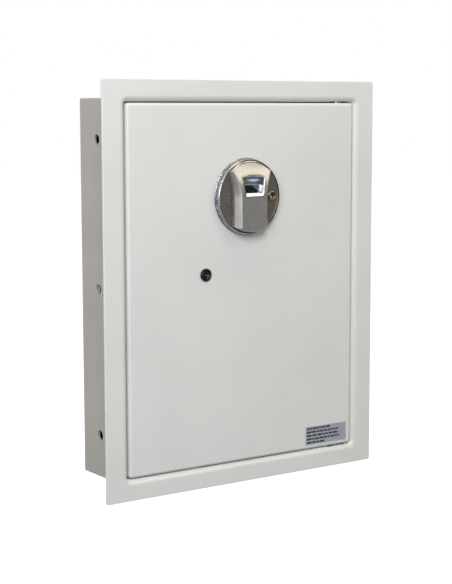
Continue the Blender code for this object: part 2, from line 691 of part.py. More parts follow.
def make_override_lock(black, steel, brass, pivot, key_pivot):
    """The round key lock: black bezel, barrel, nut, and the plug that turns its tail."""
    centre = (KEY_X, 0, KEY_Z)
    barrel_radius = 0.0059
    bore_radius = 0.0044
    barrel_front = DOOR_FRONT - 0.0017
    barrel_back = 0.0205
    bm = bmesh.new()
    front = DOOR_FRONT - 0.0021
    foot = DOOR_FRONT - GAP
    inner = barrel_radius + GAP
    profile = [(inner, foot), (0.0080, foot), (0.0080, front + 0.0007), (0.0072, front),
               (inner, front)]
    add_turned(bm, centre, "Y", profile, 32, ring=True)
    piece("override_bezel", bm, black, (KEY_X, DOOR_FRONT, KEY_Z), pivot)
    bm = bmesh.new()
    profile = [(bore_radius, barrel_back), (barrel_radius, barrel_back),
               (barrel_radius, barrel_front), (bore_radius, barrel_front)]
    add_turned(bm, centre, "Y", profile, 32, ring=True)
    piece("override_lock_barrel", bm, black, (KEY_X, DOOR_FRONT, KEY_Z), pivot)
    bm = bmesh.new()
    nut = [[], [], [], []]
    nut_front = SKIN_BACK + GAP
    nut_back = nut_front + 0.004
    for step in range(24):
        angle = 2 * math.pi * step / 24
        flat = 0.0085 / math.cos((angle + math.pi / 6) % (math.pi / 3) - math.pi / 6)
        places = ((inner, nut_back), (flat, nut_back), (flat, nut_front), (inner, nut_front))
        for loop, (radius, y) in zip(nut, places):
            loop.append((KEY_X + radius * math.sin(angle), y, KEY_Z + radius * math.cos(angle)))
    skin(bm, nut, closed=True)
    piece("override_lock_nut", bm, steel, (KEY_X, SKIN_BACK, KEY_Z), pivot)
    bm = bmesh.new()
    plug_front = DOOR_FRONT - 0.0009
    plug_back = 0.0255
    profile = [(0.0015, plug_front), (0.0017, plug_front + 0.006), (0.0033, plug_front + 0.006),
               (0.0033, plug_front), (0.0041, plug_front), (0.0041, plug_back)]
    add_turned(bm, centre, "Y", profile, 24)
    piece("key_plug", bm, steel, centre, key_pivot)
    bm = bmesh.new()
    outline = []
    hub = 0.0075
    tip = 0.0045
    reach = 0.022
    for step in range(9):
        angle = math.pi + math.pi * step / 8
        outline.append((hub * math.cos(angle), hub * math.sin(angle)))
    for step in range(7):
        angle = math.pi * step / 6
        outline.append((tip * math.cos(angle), reach - tip + tip * math.sin(angle)))
    tail_front = barrel_back + 0.001
    loops = []
    for y in (tail_front, tail_front + 0.0025):
        loops.append([(KEY_X + x, y, KEY_Z + z) for x, z in outline])
    skin(bm, loops)
    tail = piece("key_cam", bm, brass, centre, key_pivot)
    bore = bmesh.new()
    add_cylinder(bore, (KEY_X, tail_front - 0.002, KEY_Z), (KEY_X, tail_front + 0.005, KEY_Z),
                 0.0044, 24)
    combine(tail, bore, "DIFFERENCE")


def make_rating_label(material, pivot):
    """The blank rating label at the door's lower right."""
    bm = bmesh.new()
    loops = []
    for y in (DOOR_FRONT - GAP, DOOR_FRONT - GAP - 0.0003):
        loops.append(rounded_rectangle(LABEL_WIDTH / 2, LABEL_HEIGHT / 2, 0.001, y,
                                       (LABEL_X, LABEL_Z), steps=2))
    skin(bm, loops)
    piece("rating_label", bm, material, pivot.location, pivot)


# --- knob --------------------------------------------------------------------------------------

def make_dial_ring(material, pivot):
    """The fixed ring round the knob, tapered towards the front."""
    back = DOOR_FRONT - GAP
    front = back - RING_DEPTH
    inner = DISC_RADIUS + 0.0004
    profile = [(inner, back), (RING_BASE_RADIUS, back), (RING_BASE_RADIUS, back - 0.0012),
               (RING_NOSE_RADIUS, front + 0.0006), (RING_NOSE_RADIUS - 0.0004, front),
               (inner, front)]
    bm = bmesh.new()
    add_turned(bm, (0, 0, KNOB_Z), "Y", profile, 72, ring=True)
    piece("dial_ring", bm, material, (0, back, KNOB_Z), pivot)


def make_spindle_bush(material, pivot):
    """The plain bearing in the door skin that the knob's spindle turns in."""
    inner = SPINDLE_RADIUS + GAP
    profile = [(inner, DOOR_FRONT), (0.0087, DOOR_FRONT), (0.0087, SKIN_BACK + GAP),
               (0.0125, SKIN_BACK + GAP), (0.0125, SKIN_BACK + 0.003), (0.0075, 0.0095),
               (inner, 0.0095)]
    bm = bmesh.new()
    add_turned(bm, (0, 0, KNOB_Z), "Y", profile, 28, ring=True)
    piece("spindle_bush", bm, material, (0, SKIN_BACK, KNOB_Z), pivot)


def make_knob_body(material, pivot):
    """The dark disc of the knob, with recesses for the spindle, socket and indicators."""
    profile = [(DISC_RADIUS, DISC_BACK), (DISC_RADIUS, DISC_FRONT + 0.0005),
               (DISC_RADIUS - 0.0005, DISC_FRONT)]
    bm = bmesh.new()
    add_turned(bm, (0, 0, KNOB_Z), "Y", profile, 72)
    disc = piece("knob_body", bm, material, pivot.location, pivot)
    holes = bmesh.new()
    add_cylinder(holes, (0, DISC_BACK - 0.0048, KNOB_Z), (0, DISC_BACK + 0.002, KNOB_Z),
                 SPINDLE_RADIUS + GAP, 24)
    add_cylinder(holes, (SOCKET_X, DISC_FRONT - 0.002, KNOB_Z),
                 (SOCKET_X, DISC_FRONT + 0.0063, KNOB_Z), 0.0063, 24)
    for offset in INDICATOR_OFFSETS:
        add_cylinder(holes, (INDICATOR_X, DISC_FRONT - 0.002, KNOB_Z + offset),
                     (INDICATOR_X, DISC_FRONT + 0.0015, KNOB_Z + offset), 0.0024, 16)
    combine(disc, holes, "DIFFERENCE")


def bridge_outline(widen, y):
    """Outline of the grip at y: parallel sides that flare to the crown, inside the disc's rim."""
    half = BRIDGE_HALF_WIDTH + widen
    crown_half = CROWN_HALF_WIDTH + widen
    reach = BRIDGE_REACH
    low = math.asin(half / reach)
    high = math.asin(crown_half / reach)
    flare_start = 0.006
    crown_z = reach * math.cos(high)
    right = []
    for step in range(7):
        t = step / 6
        bend = (1 - t) ** 2 * half + 2 * t * (1 - t) * half + t ** 2 * crown_half
        right.append((bend, flare_start + (crown_z - flare_start) * t))
    points = []
    for step in range(9):
        angle = -math.pi / 2 - low + 2 * low * step / 8
        points.append((reach * math.cos(angle), reach * math.sin(angle)))
    points += right
    for step in range(1, 12):
        angle = math.pi / 2 - high + 2 * high * step / 12
        points.append((reach * math.cos(angle), reach * math.sin(angle)))
    points += [(-x, z) for x, z in reversed(right)]
    return [(x, y, KNOB_Z + z) for x, z in points]


def window_outline(inset, y):
    """Outline of the finger window at y: narrower at the bottom, with an arched top."""
    bottom = WINDOW_BOTTOM + inset
    shoulder = WINDOW_TOP - 0.002 - inset
    half_low = WINDOW_HALF_BOTTOM - inset
    half_high = WINDOW_HALF_TOP - inset
    points = [(-half_low, bottom), (half_low, bottom)]
    for step in range(9):
        across = 1 - 2 * step / 8
        points.append((half_high * across, shoulder + 0.002 * (1 - across ** 2)))
    return [(x, y, KNOB_Z + z) for x, z in points]


def keep_under_crown(target, lift):
    """Trim to the grip's side view: flat below the knob's axis, curved back to the rim above."""
    front = BRIDGE_FRONT - lift
    back = BRIDGE_BACK + 0.002
    below = -BRIDGE_REACH - 0.006
    above = BRIDGE_REACH + 0.0006
    side_view = [(back, below), (front, below)]
    for step in range(13):
        z = above * step / 12
        y = front + CROWN_CURVE - math.sqrt(CROWN_CURVE ** 2 - z ** 2)
        side_view.append((min(y, BRIDGE_BACK - 0.0008), z))
    side_view.append((back, above))
    keep = bmesh.new()
    skin(keep, [[(x, y, KNOB_Z + z) for y, z in side_view] for x in (-0.05, 0.05)])
    combine(target, keep, "INTERSECT")


def make_knob_bridge(material, pivot):
    """The raised grip across the knob, rounded back at its crown, with the finger window."""
    bm = bmesh.new()
    skin(bm, [bridge_outline(BRIDGE_DRAFT, BRIDGE_BACK),
              bridge_outline(0.0, BRIDGE_FRONT + BRIDGE_STRIP),
              bridge_outline(-BRIDGE_STRIP, BRIDGE_FRONT)])
    bridge = piece("knob_bridge", bm, material, pivot.location, pivot)
    keep_under_crown(bridge, 0.0)
    window = bmesh.new()
    skin(window, [window_outline(0.0, BRIDGE_FRONT + WINDOW_DEPTH),
                  window_outline(0.0, BRIDGE_FRONT - 0.003)])
    combine(bridge, window, "DIFFERENCE")


def make_window_set(chrome, glossy, glass, pivot):
    """What the window holds: a bright lining, the curved finger rest and the sensor's glass."""
    floor = BRIDGE_FRONT + WINDOW_DEPTH - GAP
    rim = BRIDGE_FRONT - 0.001
    bm = bmesh.new()
    skin(bm, [window_outline(GAP, floor), window_outline(GAP, rim),
              window_outline(0.0018, rim), window_outline(0.0018, floor)], closed=True)
    bezel = piece("window_bezel", bm, chrome, pivot.location, pivot)
    keep_under_crown(bezel, 0.0003)
    inset = 0.0018 + GAP
    half_low = WINDOW_HALF_BOTTOM - inset - 0.0002
    bottom = WINDOW_BOTTOM + inset + GAP
    top = WINDOW_TOP - inset - 0.003
    split = 0.0140
    slope_low = floor - 0.0054
    slope_high = floor - 0.0022
    bm = bmesh.new()
    plate = [(floor - GAP, bottom), (slope_low, bottom), (slope_high, split), (floor - GAP, split)]
    skin(bm, [[(x, y, KNOB_Z + z) for y, z in plate] for x in (-half_low, half_low)])
    piece("sensor_glass", bm, glass, pivot.location, pivot)
    bm = bmesh.new()
    rest = [(floor - GAP, split + GAP), (slope_high, split + GAP)]
    for step in range(1, 9):
        angle = math.pi / 2 * step / 8
        y = slope_high - 0.0025 * (1 - math.cos(angle))
        rest.append((y, split + GAP + (top - split - GAP) * math.sin(angle)))
    rest.append((floor - GAP, top))
    skin(bm, [[(x, y, KNOB_Z + z) for y, z in rest] for x in (-half_low, half_low)])
    piece("finger_rest", bm, glossy, pivot.location, pivot)


def make_socket_set(chrome, brass, lens, pivot):
    """The outside-power socket with its contact, and the two indicator lenses."""
    centre = (SOCKET_X, 0, KNOB_Z)
    rim = DISC_FRONT - 0.0012
    back = DISC_FRONT + 0.0060
    bore = 0.0040
    profile = [(0.0060, back), (0.0060, rim + 0.0004), (0.0056, rim), (bore, rim),
               (bore, back - 0.0008)]
    bm = bmesh.new()
    add_turned(bm, centre, "Y", profile, 28)
    piece("power_socket", bm, chrome, (SOCKET_X, DISC_FRONT, KNOB_Z), pivot)
    cylinder_piece("power_contact", (SOCKET_X, back - 0.0008 - GAP, KNOB_Z),
                   (SOCKET_X, back - 0.0022, KNOB_Z), 0.0030, brass, pivot, 20)
    for word, offset in zip(("upper", "lower"), INDICATOR_OFFSETS):
        cylinder_piece("indicator_lens_" + word, (INDICATOR_X, DISC_FRONT + 0.0012, KNOB_Z + offset),
                       (INDICATOR_X, DISC_FRONT - 0.0002, KNOB_Z + offset), 0.0021, lens, pivot, 16)


def make_spindle_set(steel, pivot):
    """The spindle, the notched cam with its crank pin, and the screw that holds the cam."""
    spindle = cylinder_piece("knob_spindle", (0, DISC_BACK - 0.0045, KNOB_Z),
                             (0, CAM_BACK, KNOB_Z), SPINDLE_RADIUS, steel, pivot, 24)
    hole = bmesh.new()
    add_cylinder(hole, (0, CAM_BACK - 0.009, KNOB_Z), (0, CAM_BACK + 0.002, KNOB_Z),
                 SCREW_RADIUS + GAP, 16)
    combine(spindle, hole, "DIFFERENCE")
    bm = bmesh.new()
    add_turned(bm, (0, 0, KNOB_Z), "Y", [(CAM_RADIUS, CAM_FRONT), (CAM_RADIUS, CAM_BACK)], 48)
    cam = piece("spindle_cam", bm, steel, pivot.location, pivot)
    swing = KNOB_SWING / 2
    crank = bmesh.new()
    crank_x = CRANK_RADIUS * math.sin(swing)
    crank_z = KNOB_Z + CRANK_RADIUS * math.cos(swing)
    add_cylinder(crank, (crank_x, CAM_FRONT + 0.001, crank_z), (crank_x, 0.0365, crank_z),
                 CRANK_PIN_RADIUS, 20)
    combine(cam, crank, "UNION")
    cuts = bmesh.new()
    add_cylinder(cuts, (0, CAM_FRONT - 0.002, KNOB_Z), (0, CAM_BACK + 0.002, KNOB_Z),
                 SPINDLE_RADIUS + GAP, 24)
    for turn in (0.0, KNOB_SWING):
        notch = bmesh.ops.create_cube(cuts, size=1.0)["verts"]
        place = (Matrix.Translation((0, 0, KNOB_Z)) @ Matrix.Rotation(turn, 4, "Y")
                 @ Matrix.Translation((0, PIN_Y, -CAM_RADIUS))
                 @ Matrix.Diagonal((2 * PIN_NOTCH_HALF_WIDTH, 2 * CAM_THICKNESS,
                                    2 * PIN_NOTCH_DEPTH, 1.0)))
        bmesh.ops.transform(cuts, matrix=place, verts=notch)
    combine(cam, cuts, "DIFFERENCE")
    bm = bmesh.new()
    head = CAM_BACK + GAP
    profile = [(SCREW_RADIUS, CAM_BACK - 0.008), (SCREW_RADIUS, head), (0.0065, head),
               (0.0065, head + 0.001), (0.0040, head + 0.0022)]
    add_turned(bm, (0, 0, KNOB_Z), "Y", profile, 20)
    piece("cam_screw", bm, steel, pivot.location, pivot)


# --- bolts and lock pin ------------------------------------------------------------------------

def make_bolt(word, side, material, pivot):
    """A round bolt with a soft tip and a spigot through the carriage."""
    z = side * BOLT_Z
    shoulder = CARRIAGE_X - GAP
    profile = [(BOLT_RADIUS - 0.002, BOLT_TIP_X), (BOLT_RADIUS - 0.0006, BOLT_TIP_X + 0.0006),
               (BOLT_RADIUS, BOLT_TIP_X + 0.002), (BOLT_RADIUS, shoulder),
               (0.0040, shoulder), (0.0040, CARRIAGE_X + CARRIAGE_SHEET + 0.001)]
    bm = bmesh.new()
    add_turned(bm, (0, BOLT_Y, z), "X", profile, 32)
    piece(word + "_bolt", bm, material, (BOLT_TIP_X, BOLT_Y, z), pivot)


def make_bolt_carriage(material, pivot):
    """The folded carriage: an upright that holds both bolts and an arm with the crank's slot."""
    bm = bmesh.new()
    right = CARRIAGE_X + CARRIAGE_SHEET
    add_box(bm, (CARRIAGE_X, BOLT_Y - 0.009, -BOLT_Z - 0.012), (right, ARM_BACK, BOLT_Z + 0.012))
    carriage = piece("bolt_carriage", bm, material, (CARRIAGE_X, BOLT_Y, 0), pivot)
    arm = bmesh.new()
    add_box(arm, (right - 0.001, ARM_FRONT, 0.096), (0.020, ARM_BACK, 0.133))
    combine(carriage, arm, "UNION")
    cuts = bmesh.new()
    for side in (-1, 1):
        add_cylinder(cuts, (CARRIAGE_X - 0.002, BOLT_Y, side * BOLT_Z),
                     (right + 0.002, BOLT_Y, side * BOLT_Z), 0.0043, 24)
    swing = KNOB_SWING / 2
    slot_x = CRANK_RADIUS * math.sin(swing)
    slot_low = KNOB_Z + CRANK_RADIUS * math.cos(swing) - CRANK_PIN_RADIUS - 0.0006
    slot_high = KNOB_Z + CRANK_RADIUS + CRANK_PIN_RADIUS + 0.0006
    half_slot = CRANK_PIN_RADIUS + 0.0005
    add_box(cuts, (slot_x - half_slot, ARM_FRONT - 0.002, slot_low),
            (slot_x + half_slot, ARM_BACK + 0.002, slot_high))
    combine(carriage, cuts, "DIFFERENCE")


def make_lock_pin(material, pivot):
    """The pin that rises from the lock case into a notch of the cam."""
    tip = KNOB_Z - CAM_RADIUS - 0.0022
    cylinder_piece("lock_pin", (0, PIN_Y, PIN_FOOT), (0, PIN_Y, tip), PIN_RADIUS, material, pivot,
                   20, 0.0006)


# --- assembly ----------------------------------------------------------------------------------

def main():
    for item in list(bpy.data.objects):
        bpy.data.objects.remove(item, do_unlink=True)

    powder_coat = finish("powder_coat", (0.86, 0.86, 0.82), 0.42)
    body_coat = finish("body_coat", (0.74, 0.71, 0.66), 0.50)
    inner_coat = finish("inner_coat", (0.55, 0.55, 0.54), 0.55)
    zinc = finish("zinc_steel", (0.62, 0.63, 0.65), 0.35, 1.0)
    bright = finish("bright_steel", (0.78, 0.78, 0.80), 0.22, 1.0)
    chrome = finish("ring_chrome", (0.80, 0.80, 0.80), 0.15, 1.0)
    dark_disc = finish("disc_metal", (0.24, 0.22, 0.19), 0.38, 0.8)
    satin = finish("grip_satin", (0.50, 0.49, 0.48), 0.34, 0.9)
    glossy_blue = finish("finger_rest_gloss", (0.20, 0.26, 0.34), 0.12, 0.3)
    black_glass = finish("sensor_black", (0.01, 0.01, 0.012), 0.05)
    lens = finish("indicator_lens", (0.13, 0.13, 0.12), 0.25)
    black = finish("lock_black", (0.02, 0.02, 0.02), 0.35)
    brass = finish("brass", (0.72, 0.56, 0.30), 0.35, 1.0)
    label = finish("label_foil", (0.58, 0.60, 0.62), 0.45, 0.2)
    plastic = finish("tray_plastic", (0.06, 0.06, 0.07), 0.50)
    board = finish("board_green", (0.05, 0.22, 0.10), 0.45)
    cell = finish("battery_jacket", (0.12, 0.22, 0.36), 0.35)
    cable = finish("cable_sheath", (0.09, 0.09, 0.10), 0.50)
    felt = finish("mat_felt", (0.12, 0.12, 0.13), 0.95)

    make_trim_flange(powder_coat)
    make_body_shell(body_coat)
    make_bolt_strike(body_coat)
    for word, side in (("upper", 1), ("lower", -1)):
        make_hinge_bracket(word + "_hinge_bracket", side, zinc)
        make_shelf(word + "_shelf", side * SHELF_Z, inner_coat)
    make_shelf_rail("left_shelf_rail", -1, inner_coat)
    make_shelf_rail("right_shelf_rail", 1, inner_coat)
    make_floor_mat(felt)

    door = pivot_empty("door_axis", (HINGE_X, HINGE_Y, 0))
    make_door_panel(powder_coat, door)
    for word, side in (("upper", 1), ("lower", -1)):
        make_pivot_set(word, side, zinc, bright, door)
        make_bolt_guide(word, side, zinc, door)
        make_cover_pillar(word, side, zinc, door)
    for number, (x, side) in enumerate(((COVER_SCREWS[0], 1), (COVER_SCREWS[1], 1),
                                        (COVER_SCREWS[0], -1), (COVER_SCREWS[1], -1))):
        make_cover_screw("cover_screw_" + str(number + 1), x, side * COVER_SCREW_Z, bright, door)
    make_mechanism_cover(inner_coat, door)
    make_electronics_tray(plastic, door)
    make_batteries(cell, door)
    make_control_board(board, door)
    sensor_route = [(CABLE_X, -0.0030, CABLE_Z), (CABLE_X, 0.002, CABLE_Z),
                    (0.0210, 0.007, 0.080), (0.0250, 0.011, 0.066), (0.036, 0.0145, 0.050),
                    (0.0475, 0.0155, 0.042), (0.0515, 0.0155, 0.034), (0.052, 0.0155, 0.0225)]
    make_cable("sensor_cable", sensor_route, 0.0022, cable, door)
    make_lock_case(zinc, door)
    key = pivot_empty("key_axis", (KEY_X, 0, KEY_Z), door)
    make_override_lock(black, zinc, brass, door, key)
    make_rating_label(label, door)
    make_dial_ring(chrome, door)
    make_spindle_bush(brass, door)

    knob = pivot_empty("knob_axis", (0, 0, KNOB_Z), door)
    make_knob_body(dark_disc, knob)
    make_knob_bridge(satin, knob)
    make_window_set(chrome, glossy_blue, black_glass, knob)
    make_socket_set(chrome, brass, lens, knob)
    make_spindle_set(zinc, knob)

    bolts = pivot_empty("bolt_line", (CARRIAGE_X, BOLT_Y, 0), door)
    make_bolt_carriage(zinc, bolts)
    for word, side in (("upper", 1), ("lower", -1)):
        make_bolt(word, side, bright, bolts)
    pin = pivot_empty("pin_line", (0, PIN_Y, KNOB_Z - CAM_RADIUS), door)
    make_lock_pin(bright, pin)
    lid = pivot_empty("lid_line", (LID_LEFT, LID_BACK, LID_TOP), door)
    make_battery_lid(plastic, lid)


main()
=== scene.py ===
"""Looks of the recessed wall safe: fine meshes, procedural finishes, soft studio light and the camera."""

import math
import random

import bmesh
import bpy
from mathutils import Matrix, Vector
from mathutils.geometry import delaunay_2d_cdt


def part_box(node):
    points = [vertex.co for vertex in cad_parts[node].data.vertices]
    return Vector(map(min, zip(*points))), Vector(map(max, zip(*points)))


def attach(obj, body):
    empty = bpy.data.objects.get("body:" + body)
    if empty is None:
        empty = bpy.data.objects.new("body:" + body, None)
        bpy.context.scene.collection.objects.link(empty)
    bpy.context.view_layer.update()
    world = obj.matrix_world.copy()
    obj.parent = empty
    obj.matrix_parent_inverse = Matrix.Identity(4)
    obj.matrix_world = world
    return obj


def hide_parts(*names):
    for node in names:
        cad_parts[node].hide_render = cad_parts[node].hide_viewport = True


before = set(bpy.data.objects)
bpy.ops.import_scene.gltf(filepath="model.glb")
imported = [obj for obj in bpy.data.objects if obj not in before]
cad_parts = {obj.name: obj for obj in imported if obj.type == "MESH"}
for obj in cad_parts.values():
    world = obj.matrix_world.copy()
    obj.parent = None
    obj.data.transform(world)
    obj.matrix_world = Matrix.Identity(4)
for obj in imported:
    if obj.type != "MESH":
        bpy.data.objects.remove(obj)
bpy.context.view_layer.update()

AXES = {"X": Vector((1, 0, 0)), "Y": Vector((0, 1, 0)), "Z": Vector((0, 0, 1))}


def span(node):
    """Lowest corner, highest corner and centre of a CAD node."""
    low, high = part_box(node)
    return low, high, (low + high) / 2


# --- materials ---------------------------------------------------------------------------------

def new_tree(name, **values):
    """A node material with the given numbers on its Principled shader."""
    material = bpy.data.materials.new(name)
    material.use_nodes = True
    tree = material.node_tree
    shader = tree.nodes["Principled BSDF"]
    for key, value in values.items():
        shader.inputs[key.replace("_", " ")].default_value = value
    return material, tree, shader


def add(tree, kind, inputs=None, **settings):
    """A shader node with its settings and the defaults of its input sockets."""
    node = tree.nodes.new("ShaderNode" + kind)
    for key, value in settings.items():
        setattr(node, key, value)
    for key, value in (inputs or {}).items():
        node.inputs[key].default_value = value
    return node


def wire(tree, source, target):
    """Link one output socket to one input socket."""
    tree.links.new(source, target)


def noise(tree, size, stretch=(1, 1, 1), detail=3.0, roughness=0.5):
    """Noise whose features are about size metres, longer where stretch is above 1."""
    place = add(tree, "TexCoord")
    mapping = add(tree, "Mapping")
    mapping.inputs["Scale"].default_value = [1 / (size * s) for s in stretch]
    pattern = add(tree, "TexNoise", {"Scale": 1.0, "Detail": detail, "Roughness": roughness})
    wire(tree, place.outputs["Object"], mapping.inputs["Vector"])
    wire(tree, mapping.outputs["Vector"], pattern.inputs["Vector"])
    return pattern.outputs["Fac"]


def rings(tree, centre, size, wobble=0.0):
    """Noise along the distance from an axis through centre along Y: fine turned lines."""
    place = add(tree, "TexCoord")
    shift = add(tree, "VectorMath", operation="SUBTRACT")
    shift.inputs[1].default_value = centre
    flatten = add(tree, "VectorMath", operation="MULTIPLY")
    flatten.inputs[1].default_value = (1, 0, 1)
    length = add(tree, "VectorMath", operation="LENGTH")
    scale = add(tree, "Math", operation="DIVIDE")
    scale.inputs[1].default_value = size
    pattern = add(tree, "TexNoise", {"Scale": 1.0, "Detail": 2.0}, noise_dimensions="1D")
    wire(tree, place.outputs["Object"], shift.inputs[0])
    wire(tree, shift.outputs["Vector"], flatten.inputs[0])
    wire(tree, flatten.outputs["Vector"], length.inputs[0])
    wire(tree, length.outputs["Value"], scale.inputs[0])
    wire(tree, scale.outputs["Value"], pattern.inputs["W"])
    return pattern.outputs["Fac"]


def ramp(tree, source, low, high, start=0.3, end=0.7):
    """Blend two colours as the source goes from start to end."""
    node = add(tree, "ValToRGB")
    node.color_ramp.elements[0].position = start
    node.color_ramp.elements[1].position = end
    node.color_ramp.elements[0].color = (*low, 1)
    node.color_ramp.elements[1].color = (*high, 1)
    wire(tree, source, node.inputs["Fac"])
    return node.outputs["Color"]


def level(tree, source, low, high, start=0.3, end=0.7):
    """Map the source from start..end to low..high."""
    node = add(tree, "MapRange", {"From Min": start, "From Max": end, "To Min": low, "To Max": high})
    wire(tree, source, node.inputs["Value"])
    return node.outputs["Result"]


def bump(tree, shader, source, height, strength=1.0, before=None):
    """Surface relief of a given height in metres."""
    node = add(tree, "Bump", {"Strength": strength, "Distance": height})
    wire(tree, source, node.inputs["Height"])
    if before:
        wire(tree, before, node.inputs["Normal"])
    wire(tree, node.outputs["Normal"], shader.inputs["Normal"])
    return node.outputs["Normal"]


def shade_of(colour, factor):
    """A colour made lighter or darker."""
    return tuple(min(1.0, part * factor) for part in colour)


def powder_coat(name, colour, roughness=0.38, peel=0.0016, height=0.00003, coat=0.15, spread=0.03):
    """Baked powder paint: orange peel, a fine grain and slight drifts of tone and gloss."""
    material, tree, shader = new_tree(name, Coat_Weight=coat, Coat_Roughness=0.25)
    drift = noise(tree, 0.09, detail=2.0)
    grain = noise(tree, peel / 3, detail=2.0)
    orange = noise(tree, peel, detail=1.0)
    wire(tree, ramp(tree, drift, shade_of(colour, 1 - spread), shade_of(colour, 1 + spread / 2)),
         shader.inputs["Base Color"])
    wire(tree, level(tree, grain, roughness - 0.05, roughness + 0.07), shader.inputs["Roughness"])
    first = bump(tree, shader, orange, height, 0.55)
    bump(tree, shader, grain, height / 4, 0.4, first)
    return material


def brushed_metal(name, colour, roughness=0.3, along="Z", size=0.0004, run=40.0, depth=0.000006,
                  spread=0.10, metallic=1.0):
    """Metal with fine lines along one axis and patches of brighter and duller polish."""
    material, tree, shader = new_tree(name, Metallic=metallic)
    stretch = [run if letter == along else 1.0 for letter in "XYZ"]
    lines = noise(tree, size, stretch, detail=2.0)
    patches = noise(tree, 0.018, detail=2.0)
    wire(tree, ramp(tree, patches, shade_of(colour, 1 - spread), shade_of(colour, 1 + spread)),
         shader.inputs["Base Color"])
    wire(tree, level(tree, lines, roughness - 0.08, roughness + 0.10), shader.inputs["Roughness"])
    bump(tree, shader, lines, depth, 0.6)
    return material


def turned_metal(name, colour, centre, roughness=0.3, size=0.00045, depth=0.000008, spread=0.12,
                 metallic=1.0):
    """Metal with concentric turned lines about an axis along Y."""
    material, tree, shader = new_tree(name, Metallic=metallic)
    lines = rings(tree, centre, size)
    patches = noise(tree, 0.02, detail=3.0)
    wire(tree, ramp(tree, patches, shade_of(colour, 1 - spread), shade_of(colour, 1 + spread)),
         shader.inputs["Base Color"])
    wire(tree, level(tree, lines, roughness - 0.07, roughness + 0.10), shader.inputs["Roughness"])
    bump(tree, shader, lines, depth, 0.6)
    return material


def zinc_plate(name, colour=(0.60, 0.61, 0.63), tint=(0.66, 0.62, 0.52), roughness=0.34):
    """Zinc-plated steel: faint yellow and blue clouds, rolled grain and small spots."""
    material, tree, shader = new_tree(name, Metallic=1.0)
    clouds = noise(tree, 0.02, detail=4.0, roughness=0.6)
    spots = noise(tree, 0.0012, detail=2.0)
    wire(tree, ramp(tree, clouds, colour, tint, 0.42, 0.72), shader.inputs["Base Color"])
    wire(tree, level(tree, spots, roughness - 0.06, roughness + 0.12), shader.inputs["Roughness"])
    bump(tree, shader, spots, 0.00001, 0.6)
    return material


def moulded_plastic(name, colour, roughness=0.45, grain=0.0006, height=0.00002, spread=0.12):
    """Moulded plastic with a fine spark-eroded grain."""
    material, tree, shader = new_tree(name)
    texture = noise(tree, grain, detail=2.0)
    drift = noise(tree, 0.03, detail=2.0)
    wire(tree, ramp(tree, drift, shade_of(colour, 1 - spread), shade_of(colour, 1 + spread)),
         shader.inputs["Base Color"])
    wire(tree, level(tree, texture, roughness - 0.06, roughness + 0.08), shader.inputs["Roughness"])
    bump(tree, shader, texture, height, 0.5)
    return material


def polished(name, colour, roughness=0.08, metallic=0.0, smudge=0.10, coat=0.0):
    """A polished surface with the faint smears that a fingertip leaves."""
    material, tree, shader = new_tree(name, Metallic=metallic, Coat_Weight=coat, Coat_Roughness=0.05)
    smears = noise(tree, 0.004, (1, 1, 2.5), detail=3.0)
    wire(tree, ramp(tree, smears, shade_of(colour, 0.9), shade_of(colour, 1.1)),
         shader.inputs["Base Color"])
    wire(tree, level(tree, smears, roughness, roughness + smudge, 0.4, 0.75),
         shader.inputs["Roughness"])
    bump(tree, shader, noise(tree, 0.003, detail=1.0), 0.000004, 0.3)
    return material


def worn_chrome(name, dark, light, centre, front, roughness=0.20):
    """Plated casting: cloudy on the side band, with a painted highlight (a lighter base colour) on the
    lip nearest the front plane.
    """
    material, tree, shader = new_tree(name, Metallic=1.0)
    place = add(tree, "TexCoord")
    split = add(tree, "SeparateXYZ")
    wire(tree, place.outputs["Object"], split.inputs["Vector"])
    clouds = noise(tree, 0.0045, (1, 0.6, 1), detail=3.0, roughness=0.6)
    band = ramp(tree, clouds, shade_of(dark, 0.55), shade_of(dark, 1.35), 0.38, 0.62)
    # Painted highlight: the lip nearest the front plane takes the lighter colour, standing in for its
    # bright reflection
    painted_lip_highlight = add(tree, "Mix", data_type="RGBA")
    painted_lip_highlight.inputs["B"].default_value = (*light, 1)
    wire(tree, level(tree, split.outputs["Y"], 1.0, 0.0, front + 0.0014, front + 0.0019),
         painted_lip_highlight.inputs["Factor"])
    wire(tree, band, painted_lip_highlight.inputs["A"])
    wire(tree, painted_lip_highlight.outputs["Result"], shader.inputs["Base Color"])
    wire(tree, level(tree, clouds, roughness + 0.12, roughness), shader.inputs["Roughness"])
    bump(tree, shader, rings(tree, centre, 0.0003), 0.000006, 0.5)
    return material


def sensor_glass(name, black, teal, centre, edge):
    """Prism glass: black up to a slanting line and teal beyond it."""
    material, tree, shader = new_tree(name, Coat_Weight=0.6, Coat_Roughness=0.03)
    place = add(tree, "TexCoord")
    along = add(tree, "VectorMath", operation="DOT_PRODUCT")
    along.inputs[1].default_value = (1, 0, 1.2)
    wire(tree, place.outputs["Object"], along.inputs[0])
    middle = centre.x + 1.2 * centre.z + edge
    smears = noise(tree, 0.003, (1, 1, 2.5), detail=3.0)
    colour = ramp(tree, level(tree, along.outputs["Value"], 0.0, 1.0, middle - 0.001,
                              middle + 0.001), black, teal, 0.0, 1.0)
    wire(tree, colour, shader.inputs["Base Color"])
    wire(tree, level(tree, smears, 0.05, 0.16, 0.4, 0.75), shader.inputs["Roughness"])
    return material


def felt(name, colour):
    """Dense felt: fibres in all directions, a soft sheen and uneven tone."""
    material, tree, shader = new_tree(name, Roughness=0.95, Sheen_Weight=0.4, Sheen_Roughness=0.5)
    fibres = noise(tree, 0.0009, (3, 3, 1), detail=5.0, roughness=0.7)
    wire(tree, ramp(tree, fibres, shade_of(colour, 0.55), shade_of(colour, 1.5)),
         shader.inputs["Base Color"])
    bump(tree, shader, fibres, 0.0004, 0.9)
    return material


# --- mesh building -----------------------------------------------------------------------------

